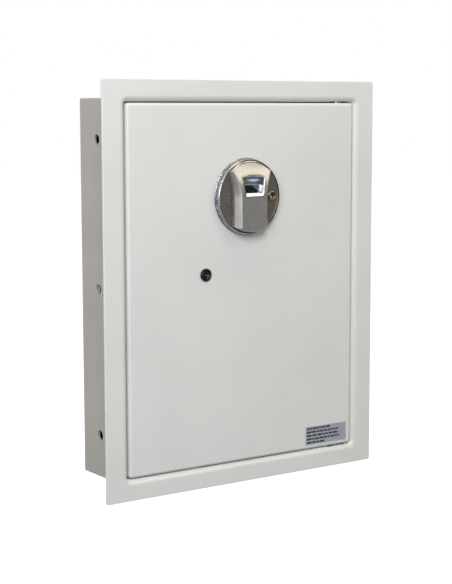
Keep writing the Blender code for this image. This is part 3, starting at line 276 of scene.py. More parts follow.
def skin(bm, loops, closed=False, caps=True):
    """Join loops of equal length; end caps close it unless the last loop meets the first."""
    rows = [[bm.verts.new(point) for point in loop] for loop in loops]
    pairs = list(zip(rows, rows[1:]))
    if closed:
        pairs.append((rows[-1], rows[0]))
    for lower, upper in pairs:
        for index in range(len(lower)):
            after = (index + 1) % len(lower)
            bm.faces.new((lower[index], lower[after], upper[after], upper[index]))
    if caps and not closed:
        bm.faces.new(rows[0])
        bm.faces.new(rows[-1])
    return rows


def turned(bm, centre, axis, profile, segments=96, ring=False, ripple=None):
    """Turn (radius, distance) points about an axis. ripple(angle, index) adds to the radius."""
    along = AXES[axis]
    across = AXES["Z"] if axis != "Z" else AXES["X"]
    other = along.cross(across)
    loops = []
    for index, (radius, distance) in enumerate(profile):
        loop = []
        for step in range(segments):
            angle = 2 * math.pi * step / segments
            reach = radius + (ripple(angle, index) if ripple else 0.0)
            spoke = across * math.cos(angle) + other * math.sin(angle)
            loop.append(Vector(centre) + along * distance + spoke * reach)
        loops.append(loop)
    skin(bm, loops, closed=ring)


def slab(bm, low, high):
    """A box between two corners."""
    size = Vector(high) - Vector(low)
    place = Matrix.Translation((Vector(high) + Vector(low)) / 2) @ Matrix.Diagonal((*size, 1.0))
    bmesh.ops.create_cube(bm, size=1.0, matrix=place)


def rod(bm, start, end, radius, segments=48):
    """A cylinder between the centres of its end faces."""
    run = Vector(end) - Vector(start)
    turn = AXES["Z"].rotation_difference(run).to_matrix().to_4x4()
    place = Matrix.Translation((Vector(start) + Vector(end)) / 2) @ turn
    bmesh.ops.create_cone(bm, cap_ends=True, segments=segments, radius1=radius, radius2=radius,
                          depth=run.length, matrix=place)


def rectangle(half_x, half_z, radius, y, centre=(0.0, 0.0), steps=10):
    """Points of a rectangle with round corners, in the plane at y."""
    points = []
    for number, (side_x, side_z) in enumerate(((1, 1), (-1, 1), (-1, -1), (1, -1))):
        for step in range(steps + 1):
            angle = math.radians(90 * (number + step / steps))
            points.append((centre[0] + side_x * (half_x - radius) + radius * math.cos(angle), y,
                           centre[1] + side_z * (half_z - radius) + radius * math.sin(angle)))
    return points


def finish_piece(name, bm, material, body, replaced=(), sharp=32, weighted=True, bevel=0.0):
    """Make the object, shade it, and tie it to its body, slot and the CAD nodes it stands for."""
    bmesh.ops.recalc_face_normals(bm, faces=bm.faces)
    mesh = bpy.data.meshes.new(name)
    bm.to_mesh(mesh)
    bm.free()
    mesh.materials.append(material)
    item = bpy.data.objects.new(name, mesh)
    bpy.context.scene.collection.objects.link(item)
    smooth(item, sharp, weighted, bevel)
    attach(item, body)
    if replaced:
        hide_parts(*replaced)
    return item


def smooth(item, sharp=32, weighted=True, bevel=0.0):
    """Smooth shading with sharp edges kept, small edge radii and area-weighted normals."""
    item.data.shade_smooth()
    item.data.set_sharp_from_angle(angle=math.radians(sharp))
    if bevel:
        edge = item.modifiers.new("Edge", "BEVEL")
        edge.width = bevel
        edge.segments = 3
        edge.limit_method = "ANGLE"
        edge.angle_limit = math.radians(40)
        edge.use_clamp_overlap = True
    if weighted:
        normals = item.modifiers.new("Normals", "WEIGHTED_NORMAL")
        normals.keep_sharp = not bevel
        normals.weight = 80


def carve(item, bm, operation="DIFFERENCE"):
    """Cut a helper mesh out of an object's own mesh, or join it, and keep the result."""
    bmesh.ops.recalc_face_normals(bm, faces=bm.faces)
    mesh = bpy.data.meshes.new("helper")
    bm.to_mesh(mesh)
    bm.free()
    helper = bpy.data.objects.new("helper", mesh)
    bpy.context.scene.collection.objects.link(helper)
    kept = [(m.name, m.show_viewport) for m in item.modifiers]
    for modifier in item.modifiers:
        modifier.show_viewport = False
    boolean = item.modifiers.new("Cut", "BOOLEAN")
    boolean.operation = operation
    boolean.solver = "EXACT"
    boolean.object = helper
    graph = bpy.context.evaluated_depsgraph_get()
    result = bpy.data.meshes.new_from_object(item.evaluated_get(graph))
    item.modifiers.remove(boolean)
    item.data = result
    for name, shown in kept:
        item.modifiers[name].show_viewport = shown
    bpy.data.objects.remove(helper)
    item.data.shade_smooth()
    item.data.set_sharp_from_angle(angle=math.radians(32))


def quarter(steps):
    """Angles from 0 to 90 degrees."""
    return [math.pi / 2 * step / steps for step in range(steps + 1)]


# --- dimensions read from the frame ------------------------------------------------------------

flange_low, flange_high, _ = span("trim_flange")
shell_low, shell_high, _ = span("body_shell")
door_low, door_high, _ = span("door_panel")
ring_low, ring_high, ring_mid = span("dial_ring")
disc_low, disc_high, disc_mid = span("knob_body")
grip_low, grip_high, _ = span("knob_bridge")
socket_mid = span("power_socket")[2]
key_mid = span("override_bezel")[2]
hinge_mid = span("upper_hinge_pin")[2]

# Housing and door
SHEET = -flange_low.y
THROAT_END = flange_high.y
DOOR_SIDE_GAP = 0.0022
DOOR_END_GAP = 0.0014
OPENING_X = door_high.x + DOOR_SIDE_GAP
OPENING_Z = door_high.z + DOOR_END_GAP
ROLL = 0.0075
THROAT_CORNER = 0.004
SHELL_CORNER = 0.0018
SHELL_LIP = 0.0024
DOOR_EDGE = 0.0035
DOOR_CORNER = 0.004
SEAM = 0.0003
STUD_HOLE_RADIUS = 0.0060
STUD_HOLE_Y = 0.0565
STUD_HOLE_PITCH = 0.181
HINGE = Vector((hinge_mid.x, hinge_mid.y, 0.0))
KEY = Vector((key_mid.x, 0.0, key_mid.z))

# Knob, with heights counted from its centre and depths from the flange's back plane
KNOB = Vector((0.0, 0.0, disc_mid.z))
DISC_FRONT = disc_low.y
SOCKET = Vector((socket_mid.x, 0.0, socket_mid.z))
GRIP_FRONT = grip_low.y
GRIP_BACK = grip_high.y
GRIP_REACH = 0.0442
GRIP_HALF = 0.0247
STRIP = 0.0019
DRAFT = 0.0040
CROWN_RADIUS = 0.095
CROWN_HALF = 0.0310
CROWN_Z = 0.0315

# Finger window, and the scoop inside it that runs down to the sensor
WINDOW_LOW = 0.0145
WINDOW_HIGH = 0.0177
WINDOW_FOOT = 0.0006
WINDOW_SHOULDER = 0.0256
LINING_DEPTH = 0.0066
CHIN = 0.0026
SCOOP_INSET = 0.0017
SCOOP_ARCH = 0.0026
SCOOP_FOOT = WINDOW_FOOT + SCOOP_INSET + CHIN
SCOOP_SPLIT = 0.0152
SCOOP_SHALLOW = GRIP_FRONT + 0.0060
SCOOP_DEEP = GRIP_FRONT + 0.0074

# --- finishes ----------------------------------------------------------------------------------

WHITE = (0.775, 0.775, 0.755)
coat = powder_coat("powder_coat_white", WHITE)
coat_body = powder_coat("powder_coat_grey", (0.50, 0.475, 0.435), 0.50, coat=0.0, spread=0.06)
coat_inner = powder_coat("powder_coat_inner", (0.42, 0.42, 0.415), 0.48, spread=0.05)
# Chrome ring: cloudy band with a painted highlight on its lip
chrome = worn_chrome("chrome_ring", (0.36, 0.37, 0.39), (0.66, 0.66, 0.68), KNOB, ring_low.y)
chrome_bright = polished("chrome_bright", (0.80, 0.79, 0.77), 0.12, 1.0, 0.08)
socket_finish = polished("socket_bronze", (0.46, 0.40, 0.31), 0.20, 1.0, 0.12)
disc_finish = turned_metal("disc_bronze", (0.185, 0.170, 0.140), KNOB, 0.36, metallic=0.60)
grip_finish = brushed_metal("grip_satin", (0.42, 0.405, 0.395), 0.30, "Z", 0.0003, 60.0,
                            depth=0.000002, metallic=0.65, spread=0.05)
scoop_finish = polished("scoop_gloss", (0.34, 0.40, 0.48), 0.22, 0.9, 0.08, coat=0.2)
sensor_finish = sensor_glass("sensor_prism", (0.004, 0.004, 0.005), (0.10, 0.13, 0.14), KNOB, 0.0176)
lens_finish = polished("lens_smoke", (0.15, 0.145, 0.13), 0.30, 0.4, 0.10)
black_finish = moulded_plastic("lock_black_satin", (0.012, 0.012, 0.013), 0.30)
plug_finish = turned_metal("plug_steel", (0.16, 0.16, 0.16), KEY, 0.35)
zinc = zinc_plate("zinc_plate")
zinc_dark = zinc_plate("zinc_cast", (0.40, 0.40, 0.41), (0.44, 0.43, 0.40), 0.45)
bright = brushed_metal("bright_steel", (0.66, 0.66, 0.67), 0.22, "X", 0.0002, 30.0)
brass = brushed_metal("brass_turned", (0.62, 0.45, 0.20), 0.30, "Y", 0.0003, 20.0)
label_finish = polished("label_silver", (0.42, 0.43, 0.49), 0.38, 0.35, 0.10)
label_edge = polished("label_border", (0.62, 0.63, 0.66), 0.40, 0.1, 0.10)
label_ink = moulded_plastic("label_ink", (0.035, 0.04, 0.065), 0.5, 0.0003)
tray_plastic = moulded_plastic("tray_black", (0.022, 0.022, 0.024), 0.48)
mat_finish = felt("mat_felt", (0.035, 0.036, 0.040))
sheath = moulded_plastic("cable_black", (0.018, 0.018, 0.019), 0.40, 0.0004)


# --- housing -----------------------------------------------------------------------------------

def make_flange():
    """The trim with its rolled throat: flat face, soft outer corners and a smooth roll."""
    half_x = flange_high.x
    half_z = flange_high.z
    corner = 0.0030
    edge = 0.0007

    def throat(distance, y):
        return rectangle(OPENING_X + distance, OPENING_Z + distance, THROAT_CORNER + distance, y)

    loops = [rectangle(half_x - edge, half_z - edge, corner - edge, 0.0)]
    for angle in quarter(3):
        inset = edge * (1 - math.sin(angle))
        loops.append(rectangle(half_x - inset, half_z - inset, corner - inset,
                               -edge * (1 - math.cos(angle))))
    for angle in quarter(3):
        inset = edge * (1 - math.cos(angle))
        loops.append(rectangle(half_x - inset, half_z - inset, corner - inset,
                               -SHEET + edge * (1 - math.sin(angle))))
    for angle in quarter(16):
        loops.append(throat(ROLL * (1 - math.sin(angle)), -SHEET + ROLL * (1 - math.cos(angle))))
    loops.append(throat(0.0, THROAT_END))
    loops.append(throat(SHEET, THROAT_END))
    inner = ROLL - SHEET
    for angle in reversed(quarter(10)):
        loops.append(throat(SHEET + inner * (1 - math.sin(angle)), inner * (1 - math.cos(angle))))
    bm = bmesh.new()
    skin(bm, loops, closed=True)
    item = finish_piece("flange_trim", bm, coat, "housing", ["trim_flange"])
    half_width = 0.015
    height = 0.0055
    notch = bmesh.new()
    for side in (-1, 1):
        low, high = sorted((side * (OPENING_Z - 0.001), side * (OPENING_Z + height)))
        slab(notch, (HINGE.x - half_width, 0.001, low),
             (HINGE.x + half_width, THROAT_END - 0.0005, high))
    carve(item, notch)


def make_shell():
    """The recessed box: a front lip, bent back edges and chamfered stud holes."""
    bend = SHELL_CORNER - SEAM
    front = THROAT_END + SEAM
    back = shell_high.y
    half_z = (shell_high.z - shell_low.z) / 2
    middle = (0.0, (shell_high.z + shell_low.z) / 2)

    def box(inset, radius, y):
        return rectangle(shell_high.x - inset, half_z - inset, radius, y, middle)

    loops = [box(SHEET, SHELL_CORNER / 2, back - SHEET),
             box(SHEET, SHELL_CORNER / 2, front + SHELL_LIP),
             rectangle(OPENING_X, OPENING_Z, THROAT_CORNER, front + SHELL_LIP),
             rectangle(OPENING_X, OPENING_Z, THROAT_CORNER, front),
             box(0.0, SHELL_CORNER, front)]
    for angle in quarter(8):
        inset = bend * (1 - math.cos(angle))
        loops.append(box(inset, SHELL_CORNER - inset, back - bend + bend * math.sin(angle)))
    bm = bmesh.new()
    skin(bm, loops)
    item = finish_piece("recess_box", bm, coat_body, "housing", ["body_shell"])
    rim = 0.0005
    spare = 0.001
    holes = bmesh.new()
    for side in (-1, 1):
        profile = [(STUD_HOLE_RADIUS, -side * (SHEET + spare)), (STUD_HOLE_RADIUS, -side * rim),
                   (STUD_HOLE_RADIUS + rim, 0.0), (STUD_HOLE_RADIUS + rim, side * spare)]
        for row in (-1, 0, 1):
            turned(holes, (side * shell_high.x, STUD_HOLE_Y, row * STUD_HOLE_PITCH), "X", profile, 48)
    carve(item, holes)


# --- door --------------------------------------------------------------------------------------

def make_door():
    """The pan door with smoothly bent edges."""
    half_x = door_high.x
    half_z = door_high.z
    front = door_low.y
    back = door_high.y
    inner = DOOR_CORNER - SHEET + 0.0008
    loops = [rectangle(half_x - SHEET, half_z - SHEET, inner, front + SHEET),
             rectangle(half_x - SHEET, half_z - SHEET, inner, back),
             rectangle(half_x, half_z, DOOR_CORNER, back)]
    for angle in quarter(14):
        inset = DOOR_EDGE * (1 - math.cos(angle))
        loops.append(rectangle(half_x - inset, half_z - inset, DOOR_CORNER - inset,
                               front + DOOR_EDGE * (1 - math.sin(angle))))
    bm = bmesh.new()
    skin(bm, loops)
    item = finish_piece("door_pan", bm, coat, "door", ["door_panel"])
    spare = 0.002
    bush_radius = 0.009
    cable_radius = 0.0035
    cable_place = (0.020, 0.084)
    lock_radius = 0.0063
    pin_radius = 0.0028
    holes = bmesh.new()
    for x, z, radius in ((KNOB.x, KNOB.z, bush_radius), (*cable_place, cable_radius),
                         (KEY.x, KEY.z, lock_radius)):
        rod(holes, (x, front - spare, z), (x, front + SHEET + spare, z), radius)
    for side in (-1, 1):
        rod(holes, (HINGE.x, HINGE.y, side * (half_z - SHEET - spare)),
            (HINGE.x, HINGE.y, side * (half_z + spare)), pin_radius)
    carve(item, holes)


def make_label():
    """A plain foil label: border, silver field and rows of blank bars with no lettering."""
    low, high, mid = span("rating_label")
    half_x = (high.x - low.x) / 2
    half_z = (high.z - low.z) / 2
    centre = (mid.x, mid.z)
    bm = bmesh.new()
    skin(bm, [rectangle(half_x, half_z, 0.001, high.y, centre, 4),
              rectangle(half_x, half_z, 0.001, low.y + 0.0001, centre, 4),
              rectangle(half_x - 0.0001, half_z - 0.0001, 0.0009, low.y + 0.00002, centre, 4)])
    finish_piece("label_backing", bm, label_edge, "door", ["rating_label"])
    bm = bmesh.new()
    border = 0.0007
    skin(bm, [rectangle(half_x - border, half_z - border, 0.0006, low.y + 0.00001, centre, 4),
              rectangle(half_x - border, half_z - border, 0.0006, low.y, centre, 4)])
    finish_piece("label_field", bm, label_finish, "door")
    bm = bmesh.new()
    dice = random.Random(4)
    row_shares = (0.60, 0.80, 0.81, 0.83, 0.46)
    pitch = 2 * half_z / (len(row_shares) + 0.35)
    margin = 0.0024
    half_bar = 0.0013
    space = 0.0011
    relief = 0.00001
    for row, share in enumerate(row_shares):
        z = mid.z + half_z - pitch * (row + 0.72)
        x = low.x + margin
        end = low.x + share * 2 * half_x
        while x < end:
            width = dice.uniform(0.0028, 0.0085)
            slab(bm, (x, low.y - relief, z - half_bar),
                 (min(x + width, end), low.y + relief, z + half_bar))
            x += width + space
    finish_piece("label_bars", bm, label_ink, "door", weighted=False)


# --- knob --------------------------------------------------------------------------------------

def make_ring():
    """The chrome ring: a plain base band, a fluted taper and a polished lip."""
    back = ring_high.y
    front = ring_low.y
    base = (ring_high.x - ring_low.x) / 2
    nose = base - 0.0016
    inner = 0.04525
    flutes = 76
    profile = [(inner, back), (base - 0.0003, back), (base, back - 0.0003), (base, back - 0.0010),
               (base - 0.0005, back - 0.0014), (base - 0.0004, back - 0.0020),
               (base - 0.0005, back - 0.0030), (nose + 0.0007, back - 0.0048),
               (nose + 0.0003, front + 0.0018), (nose - 0.0003, front + 0.0013),
               (nose - 0.0001, front + 0.0008), (nose - 0.0003, front + 0.0003),
               (nose - 0.0007, front), (inner + 0.0004, front), (inner, front + 0.0004)]
    cut = {5: 0.5, 6: 1.0, 7: 1.0, 8: 0.6}

    def ripple(angle, index):
        wave = abs(math.sin(angle * flutes / 2))
        return -0.00075 * cut.get(index, 0.0) * (1 - wave) ** 1.5

    bm = bmesh.new()
    turned(bm, KNOB, "Y", profile, flutes * 10, ring=True, ripple=ripple)
    finish_piece("knob_ring", bm, chrome, "door", ["dial_ring"], sharp=50)


def make_disc():
    """The dark turned disc, with a fine raised lip and recesses for the socket and lenses."""
    radius = (disc_high.x - disc_low.x) / 2
    back = disc_high.y
    profile = [(radius, back), (radius, DISC_FRONT + 0.0008), (radius - 0.0004, DISC_FRONT + 0.0002),
               (radius - 0.0008, DISC_FRONT), (radius - 0.0016, DISC_FRONT),
               (radius - 0.0019, DISC_FRONT + 0.0003), (0.002, DISC_FRONT + 0.0003)]
    bm = bmesh.new()
    turned(bm, KNOB, "Y", profile, 192)
    item = finish_piece("knob_disc", bm, disc_finish, "knob", ["knob_body"])
    spare = 0.002
    spindle_radius = 0.0053
    spindle_depth = 0.0048
    socket_radius = 0.0063
    socket_depth = 0.0063
    lens_radius = 0.0024
    lens_depth = 0.0015
    holes = bmesh.new()
    rod(holes, (KNOB.x, back - spindle_depth, KNOB.z), (KNOB.x, back + spare, KNOB.z), spindle_radius)
    rod(holes, (SOCKET.x, DISC_FRONT - spare, SOCKET.z),
        (SOCKET.x, DISC_FRONT + socket_depth, SOCKET.z), socket_radius)
    for word in ("upper", "lower"):
        lens = span("indicator_lens_" + word)[2]
        rod(holes, (lens.x, DISC_FRONT - spare, lens.z),
            (lens.x, DISC_FRONT + lens_depth, lens.z), lens_radius, 32)
    carve(item, holes)


def grip_front(z):
    """How far the grip's front surface lies from the flange's back plane at height z."""
    drop = CROWN_RADIUS - math.sqrt(CROWN_RADIUS ** 2 - max(0.0, z) ** 2)
    return min(GRIP_FRONT + drop, GRIP_BACK - 0.0004)


def grip_edge(z):
    """Where the drafted wall ends and the bevelled strip begins at height z."""
    front = grip_front(z)
    return front + min(STRIP, 0.4 * (GRIP_BACK - front))


def grip_loop(rise, strip, widen=0.0):
    """One level of the grip: rise goes up the wall and strip over the bevel."""
    wall = GRIP_BACK - GRIP_FRONT - STRIP
    reach = GRIP_REACH - 0.0010 * rise - 0.0013 * strip

    def half_at(z):
        t = max(0.0, z) / CROWN_Z
        foot = GRIP_HALF + (CROWN_HALF - GRIP_HALF) * t ** 1.7
        share = (GRIP_BACK - grip_edge(z)) / wall
        return foot + widen - DRAFT * rise * share - STRIP * strip * min(1.0, 0.4 + share)

    low, high = 0.02, 0.04
    for _ in range(40):
        middle = (low + high) / 2
        if half_at(middle) ** 2 + middle ** 2 < reach ** 2:
            low = middle
        else:
            high = middle
    crown = math.atan2(half_at(low), low)
    foot = math.asin(half_at(0.0) / reach)
    foot_z = -reach * math.cos(foot)
    side = [foot_z - foot_z * step / 16 for step in range(16)]
    side += [low * step / 24 for step in range(25)]
    outline = []
    for step in range(24):
        angle = -math.pi / 2 - foot + 2 * foot * step / 24
        outline.append((reach * math.cos(angle), reach * math.sin(angle)))
    outline += [(half_at(z), z) for z in side]
    for step in range(1, 32):
        angle = math.pi / 2 - crown + 2 * crown * step / 32
        outline.append((reach * math.cos(angle), reach * math.sin(angle)))
    outline += [(-half_at(z), z) for z in reversed(side)]
    points = []
    for x, z in outline:
        edge = grip_edge(z)
        y = GRIP_BACK + (edge - GRIP_BACK) * rise
        y += (grip_front(z) - edge) * min(1.0, strip)
        points.append((x, y, KNOB.z + z))
    return points


def window_outline(inset=0.0, lift=0.0, arch=0.0028, steps=16):
    """Outline of the finger window: straight sides that widen upwards and an arched top."""
    bottom = WINDOW_FOOT + inset + lift
    top = WINDOW_SHOULDER - inset
    low = WINDOW_LOW - inset
    high = WINDOW_HIGH - inset
    radius = 0.0012
    points = []
    for corner in ((-low + radius, bottom + radius, 180), (low - radius, bottom + radius, 270)):
        for step in range(6):
            angle = math.radians(corner[2] + 90 * step / 5)
            points.append((corner[0] + radius * math.cos(angle),
                           corner[1] + radius * math.sin(angle)))
    for step in range(1, 10):
        t = step / 10
        points.append((low + (high - low) * t, bottom + radius + (top - bottom - radius) * t))
    for step in range(steps + 1):
        across = 1 - 2 * step / steps
        points.append((high * across, top + arch * (1 - across ** 2)))
    for step in range(9, 0, -1):
        t = step / 10
        points.append((-low - (high - low) * t, bottom + radius + (top - bottom - radius) * t))
    return points


def make_grip():
    """The raised grip: drafted walls, a narrow bevelled strip and a front that bends to the crown."""
    bm = bmesh.new()
    levels = [(0.0, 0.0), (0.15, 0.0), (0.4, 0.0), (0.7, 0.0), (0.95, 0.0), (0.985, 0.02),
              (1.0, 0.08), (1.0, 0.5), (1.0, 0.9), (1.0, 0.98), (1.0, 1.1)]
    rows = skin(bm, [grip_loop(*step) for step in levels], caps=False)
    outer = [Vector((v.co.x, v.co.z - KNOB.z)) for v in rows[-1]]
    window = [Vector(point) for point in window_outline()]
    keep = []
    step_x, step_z = 0.0022, 0.00235
    margin = 0.0012
    window_top, window_half = 0.0300, 0.0190
    for i in range(-9, 10):
        for j in range(-18, 19):
            x, z = i * step_x, j * step_z
            inner = Vector((abs(x) + margin, z + math.copysign(margin, z)))
            in_window = -margin < z < window_top and abs(x) < window_half
            if inside_polygon(inner, outer) and not in_window:
                keep.append(Vector((x, z)))
    count = len(outer)
    ring = [(i, (i + 1) % count) for i in range(count)]
    hole = [(count + i, count + (i + 1) % len(window)) for i in range(len(window))]
    made = delaunay_2d_cdt(outer + window + keep, ring + hole, [], 0, 1e-7)
    verts = []
    order = {}
    for place, sources in zip(made[0], made[3]):
        if sources and sources[0] < count:
            verts.append(rows[-1][sources[0]])
        else:
            verts.append(bm.verts.new((place.x, grip_front(place.y), KNOB.z + place.y)))
        for source in sources:
            order[source] = verts[-1]
    for face in made[2]:
        middle = sum((made[0][i] for i in face), Vector((0, 0))) / len(face)
        if inside_polygon(middle, outer) and not inside_polygon(middle, window):
            bm.faces.new([verts[i] for i in face])
    rim = [order[count + i] for i in range(len(window))]
    back = [bm.verts.new((v.co.x, GRIP_BACK, v.co.z)) for v in rim]
    for index in range(len(rim)):
        after = (index + 1) % len(rim)
        bm.faces.new((rim[index], rim[after], back[after], back[index]))
    bmesh.ops.triangle_fill(bm, edges=loop_of(bm, rows[0]) + loop_of(bm, back), use_beauty=True)
    finish_piece("knob_grip", bm, grip_finish, "knob", ["knob_bridge"], sharp=28)
    bm = bmesh.new()
    section = ((0.0, 0.0001), (0.0, 0.0014), (0.02, 0.0014), (0.16, 0.0001))
    skin(bm, [grip_loop(rise, 0.0, widen) for rise, widen in section], closed=True)
    finish_piece("grip_skirt", bm, chrome_bright, "knob", sharp=30)


def loop_of(bm, verts):
    """The edges that join a loop's vertices in order."""
    edges = []
    for index, vert in enumerate(verts):
        edges.append(bm.edges.get((vert, verts[(index + 1) % len(verts)])))
    return edges


def inside_polygon(point, polygon):
    """Whether a 2-D point lies inside a polygon."""
    inside = False
    for a, b in zip(polygon, polygon[1:] + polygon[:1]):
        if (a.y > point.y) != (b.y > point.y):
            if point.x < a.x + (point.y - a.y) / (b.y - a.y) * (b.x - a.x):
                inside = not inside
    return inside


def make_lining():
    """The window's bright lining, whose foot widens into a chin below the sensor."""
    rows = []
    for inset, lift, drop in ((0.0003, 0.0, LINING_DEPTH), (0.0003, 0.0, 0.0002),
                              (0.0005, 0.0, -0.0002), (0.0009, 0.0, -0.0002),
                              (0.0012, 0.0002, 0.0), (0.0015, CHIN, 0.0010),
                              (0.0016, CHIN, 0.0013), (0.0016, CHIN, LINING_DEPTH)):
        rows.append([(x, grip_front(z) + drop, KNOB.z + z) for x, z in window_outline(inset, lift)])
    bm = bmesh.new()
    skin(bm, rows, closed=True)
    finish_piece("grip_lining", bm, chrome_bright, "knob", ["window_bezel"], sharp=60)


def scoop_half(z):
    """Half the scoop's width at height z."""
    share = (z - WINDOW_FOOT) / (WINDOW_SHOULDER - WINDOW_FOOT)
    return WINDOW_LOW + (WINDOW_HIGH - WINDOW_LOW) * min(1.0, share) - SCOOP_INSET


def make_scoop():
    """The glossy finger rest: a slope under the sensor and a hollow that curls up above it."""
    top = WINDOW_SHOULDER + SCOOP_ARCH - SCOOP_INSET
    hollow = 0.0028
    section = [(SCOOP_FOOT, SCOOP_SHALLOW - 0.0002)]
    for step in range(0, 13):
        t = step / 12
        section.append((SCOOP_FOOT + (SCOOP_SPLIT - SCOOP_FOOT) * t,
                        SCOOP_SHALLOW + (SCOOP_DEEP - SCOOP_SHALLOW) * t))
    arc = 20
    for step in range(1, arc + 1):
        t = step / arc
        section.append((SCOOP_SPLIT + (top - SCOOP_SPLIT) * t,
                        SCOOP_DEEP - hollow * math.sin(math.pi * 0.62 * t)))
    columns = 20
    bm = bmesh.new()
    front_rows = []
    for z, y in section:
        half = scoop_half(z)
        row = []
        for column in range(columns + 1):
            across = -1 + 2 * column / columns
            roof = WINDOW_SHOULDER - SCOOP_INSET + SCOOP_ARCH * (1 - across ** 2)
            curl = min(1.0, max(0.0, (z - SCOOP_SPLIT) / 0.004))
            lift = curl * (0.0012 * across ** 2 + 0.0006 * across ** 6)
            row.append(bm.verts.new((half * across, y - lift, KNOB.z + min(z, roof))))
        front_rows.append(row)
    for lower, upper in zip(front_rows, front_rows[1:]):
        for column in range(columns):
            bm.faces.new((lower[column], lower[column + 1], upper[column + 1], upper[column]))
    for side in (0, columns):
        walls = []
        for row in front_rows:
            v = row[side]
            z = v.co.z - KNOB.z
            depth = min(v.co.y, grip_front(z) + LINING_DEPTH - 0.0003)
            walls.append(bm.verts.new((v.co.x, depth, v.co.z)))
        for index in range(len(walls) - 1):
            bm.faces.new((front_rows[index][side], front_rows[index + 1][side], walls[index + 1],
                          walls[index]))
    item = finish_piece("finger_scoop", bm, scoop_finish, "knob", ["finger_rest"],
                        sharp=60, weighted=False)
    thick = item.modifiers.new("Wall", "SOLIDIFY")
    thick.thickness = 0.0002
    thick.offset = 0.0


def make_sensor():
    """The sensor's sloping glass, which lies on the lower part of the scoop."""
    half = scoop_half(SCOOP_FOOT) - 0.0006
    near = 0.00025
    foot = Vector((0, SCOOP_SHALLOW, KNOB.z + SCOOP_FOOT))
    head = Vector((0, SCOOP_DEEP, KNOB.z + SCOOP_SPLIT))
    slope = (head - foot).normalized()
    outwards = Vector((0, -slope.z, slope.y))
    start = foot + slope * 0.0004
    run = (head - foot).length - 0.0012
    bm = bmesh.new()
    loops = []
    for inset, height in ((0.0, 0.00005), (0.0, near), (0.0003, near + 0.0002)):
        loop = []
        for x, t in ((-half + inset, inset), (half - inset, inset), (half - inset, run - inset),
                     (-half + inset, run - inset)):
            loop.append(start + slope * t + outwards * height + Vector((x, 0, 0)))
        loops.append(loop)
    skin(bm, loops)
    finish_piece("sensor_window", bm, sensor_finish, "knob", ["sensor_glass"])


def make_socket():
    """The chrome-rimmed power socket, its contact and the two lenses."""
    rim = DISC_FRONT - 0.0012
    back = DISC_FRONT + 0.0060
    profile = [(0.0058, back), (0.0060, back - 0.0002), (0.0060, rim + 0.0010)]
    for angle in quarter(8):
        profile.append((0.0060 - 0.0009 * (1 - math.cos(angle)), rim + 0.0009 * (1 - math.sin(angle))))
    profile += [(0.0044, rim), (0.0041, rim + 0.0003), (0.0040, rim + 0.0006),
                (0.0040, back - 0.0010), (0.0036, back - 0.0008)]
    bm = bmesh.new()
    turned(bm, SOCKET, "Y", profile, 64)
    finish_piece("socket_cup", bm, socket_finish, "knob", ["power_socket"])
    bm = bmesh.new()
    tip = back - 0.0022
    profile = [(0.0030, back - 0.0011), (0.0030, tip + 0.0003), (0.0027, tip), (0.0016, tip),
               (0.0013, tip + 0.0003), (0.0006, tip + 0.0003)]
    turned(bm, SOCKET, "Y", profile, 48)
    finish_piece("socket_contact", bm, zinc_dark, "knob", ["power_contact"])
    front = DISC_FRONT - 0.0002
    profile = [(0.0021, DISC_FRONT + 0.0012), (0.0021, front + 0.0002), (0.0018, front),
               (0.0015, front + 0.0003), (0.0007, front + 0.0001)]
    for word in ("upper", "lower"):
        lens = span("indicator_lens_" + word)[2]
        bm = bmesh.new()
        turned(bm, (lens.x, 0.0, lens.z), "Y", profile, 40)
        finish_piece("lens_" + word, bm, lens_finish, "knob",
                     ["indicator_lens_" + word])


# --- key lock ----------------------------------------------------------------------------------

def make_key_lock():
    """The black bezel, the barrel's nose and the plug with its round keyway."""
    low, high, _ = span("override_bezel")
    foot = high.y
    front = low.y
    profile = [(0.0062, foot), (0.0078, foot), (0.0080, foot - 0.0002), (0.0080, front + 0.0008)]
    for angle in quarter(6):
        profile.append((0.0080 - 0.0008 * (1 - math.cos(angle)),
                        front + 0.0008 * (1 - math.sin(angle))))
    profile += [(0.0066, front), (0.0062, front + 0.0004)]
    bm = bmesh.new()
    turned(bm, KEY, "Y", profile, 80, ring=True)
    finish_piece("key_bezel", bm, black_finish, "door", ["override_bezel"])
    low, high, _ = span("override_lock_barrel")
    profile = [(0.0044, high.y), (0.0059, high.y), (0.0059, low.y + 0.0003), (0.0056, low.y),
               (0.0050, low.y), (0.0044, low.y + 0.0006)]
    bm = bmesh.new()
    turned(bm, KEY, "Y", profile, 72, ring=True)
    finish_piece("key_barrel", bm, black_finish, "door", ["override_lock_barrel"])
    low, high, _ = span("key_plug")
    front = low.y
    profile = [(0.0011, front + 0.0004), (0.0015, front), (0.0017, front + 0.0003),
               (0.0017, front + 0.006), (0.0033, front + 0.006), (0.0033, front + 0.0002),
               (0.0035, front), (0.0039, front), (0.0041, front + 0.0003), (0.0041, high.y)]
    bm = bmesh.new()
    turned(bm, KEY, "Y", profile, 64)
    finish_piece("key_core", bm, plug_finish, "key", ["key_plug"])


# --- CAD nodes that keep their shape -----------------------------------------------------------

def dress(node, material, bevel=0.0003):
    """Give a CAD node its finish and softened edges."""
    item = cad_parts[node]
    item.data.materials.clear()
    item.data.materials.append(material)
    if bevel:
        edge = item.modifiers.new("Edge", "BEVEL")
        edge.width = bevel
        edge.segments = 2
        edge.limit_method = "ANGLE"
        edge.angle_limit = math.radians(40)
    return item


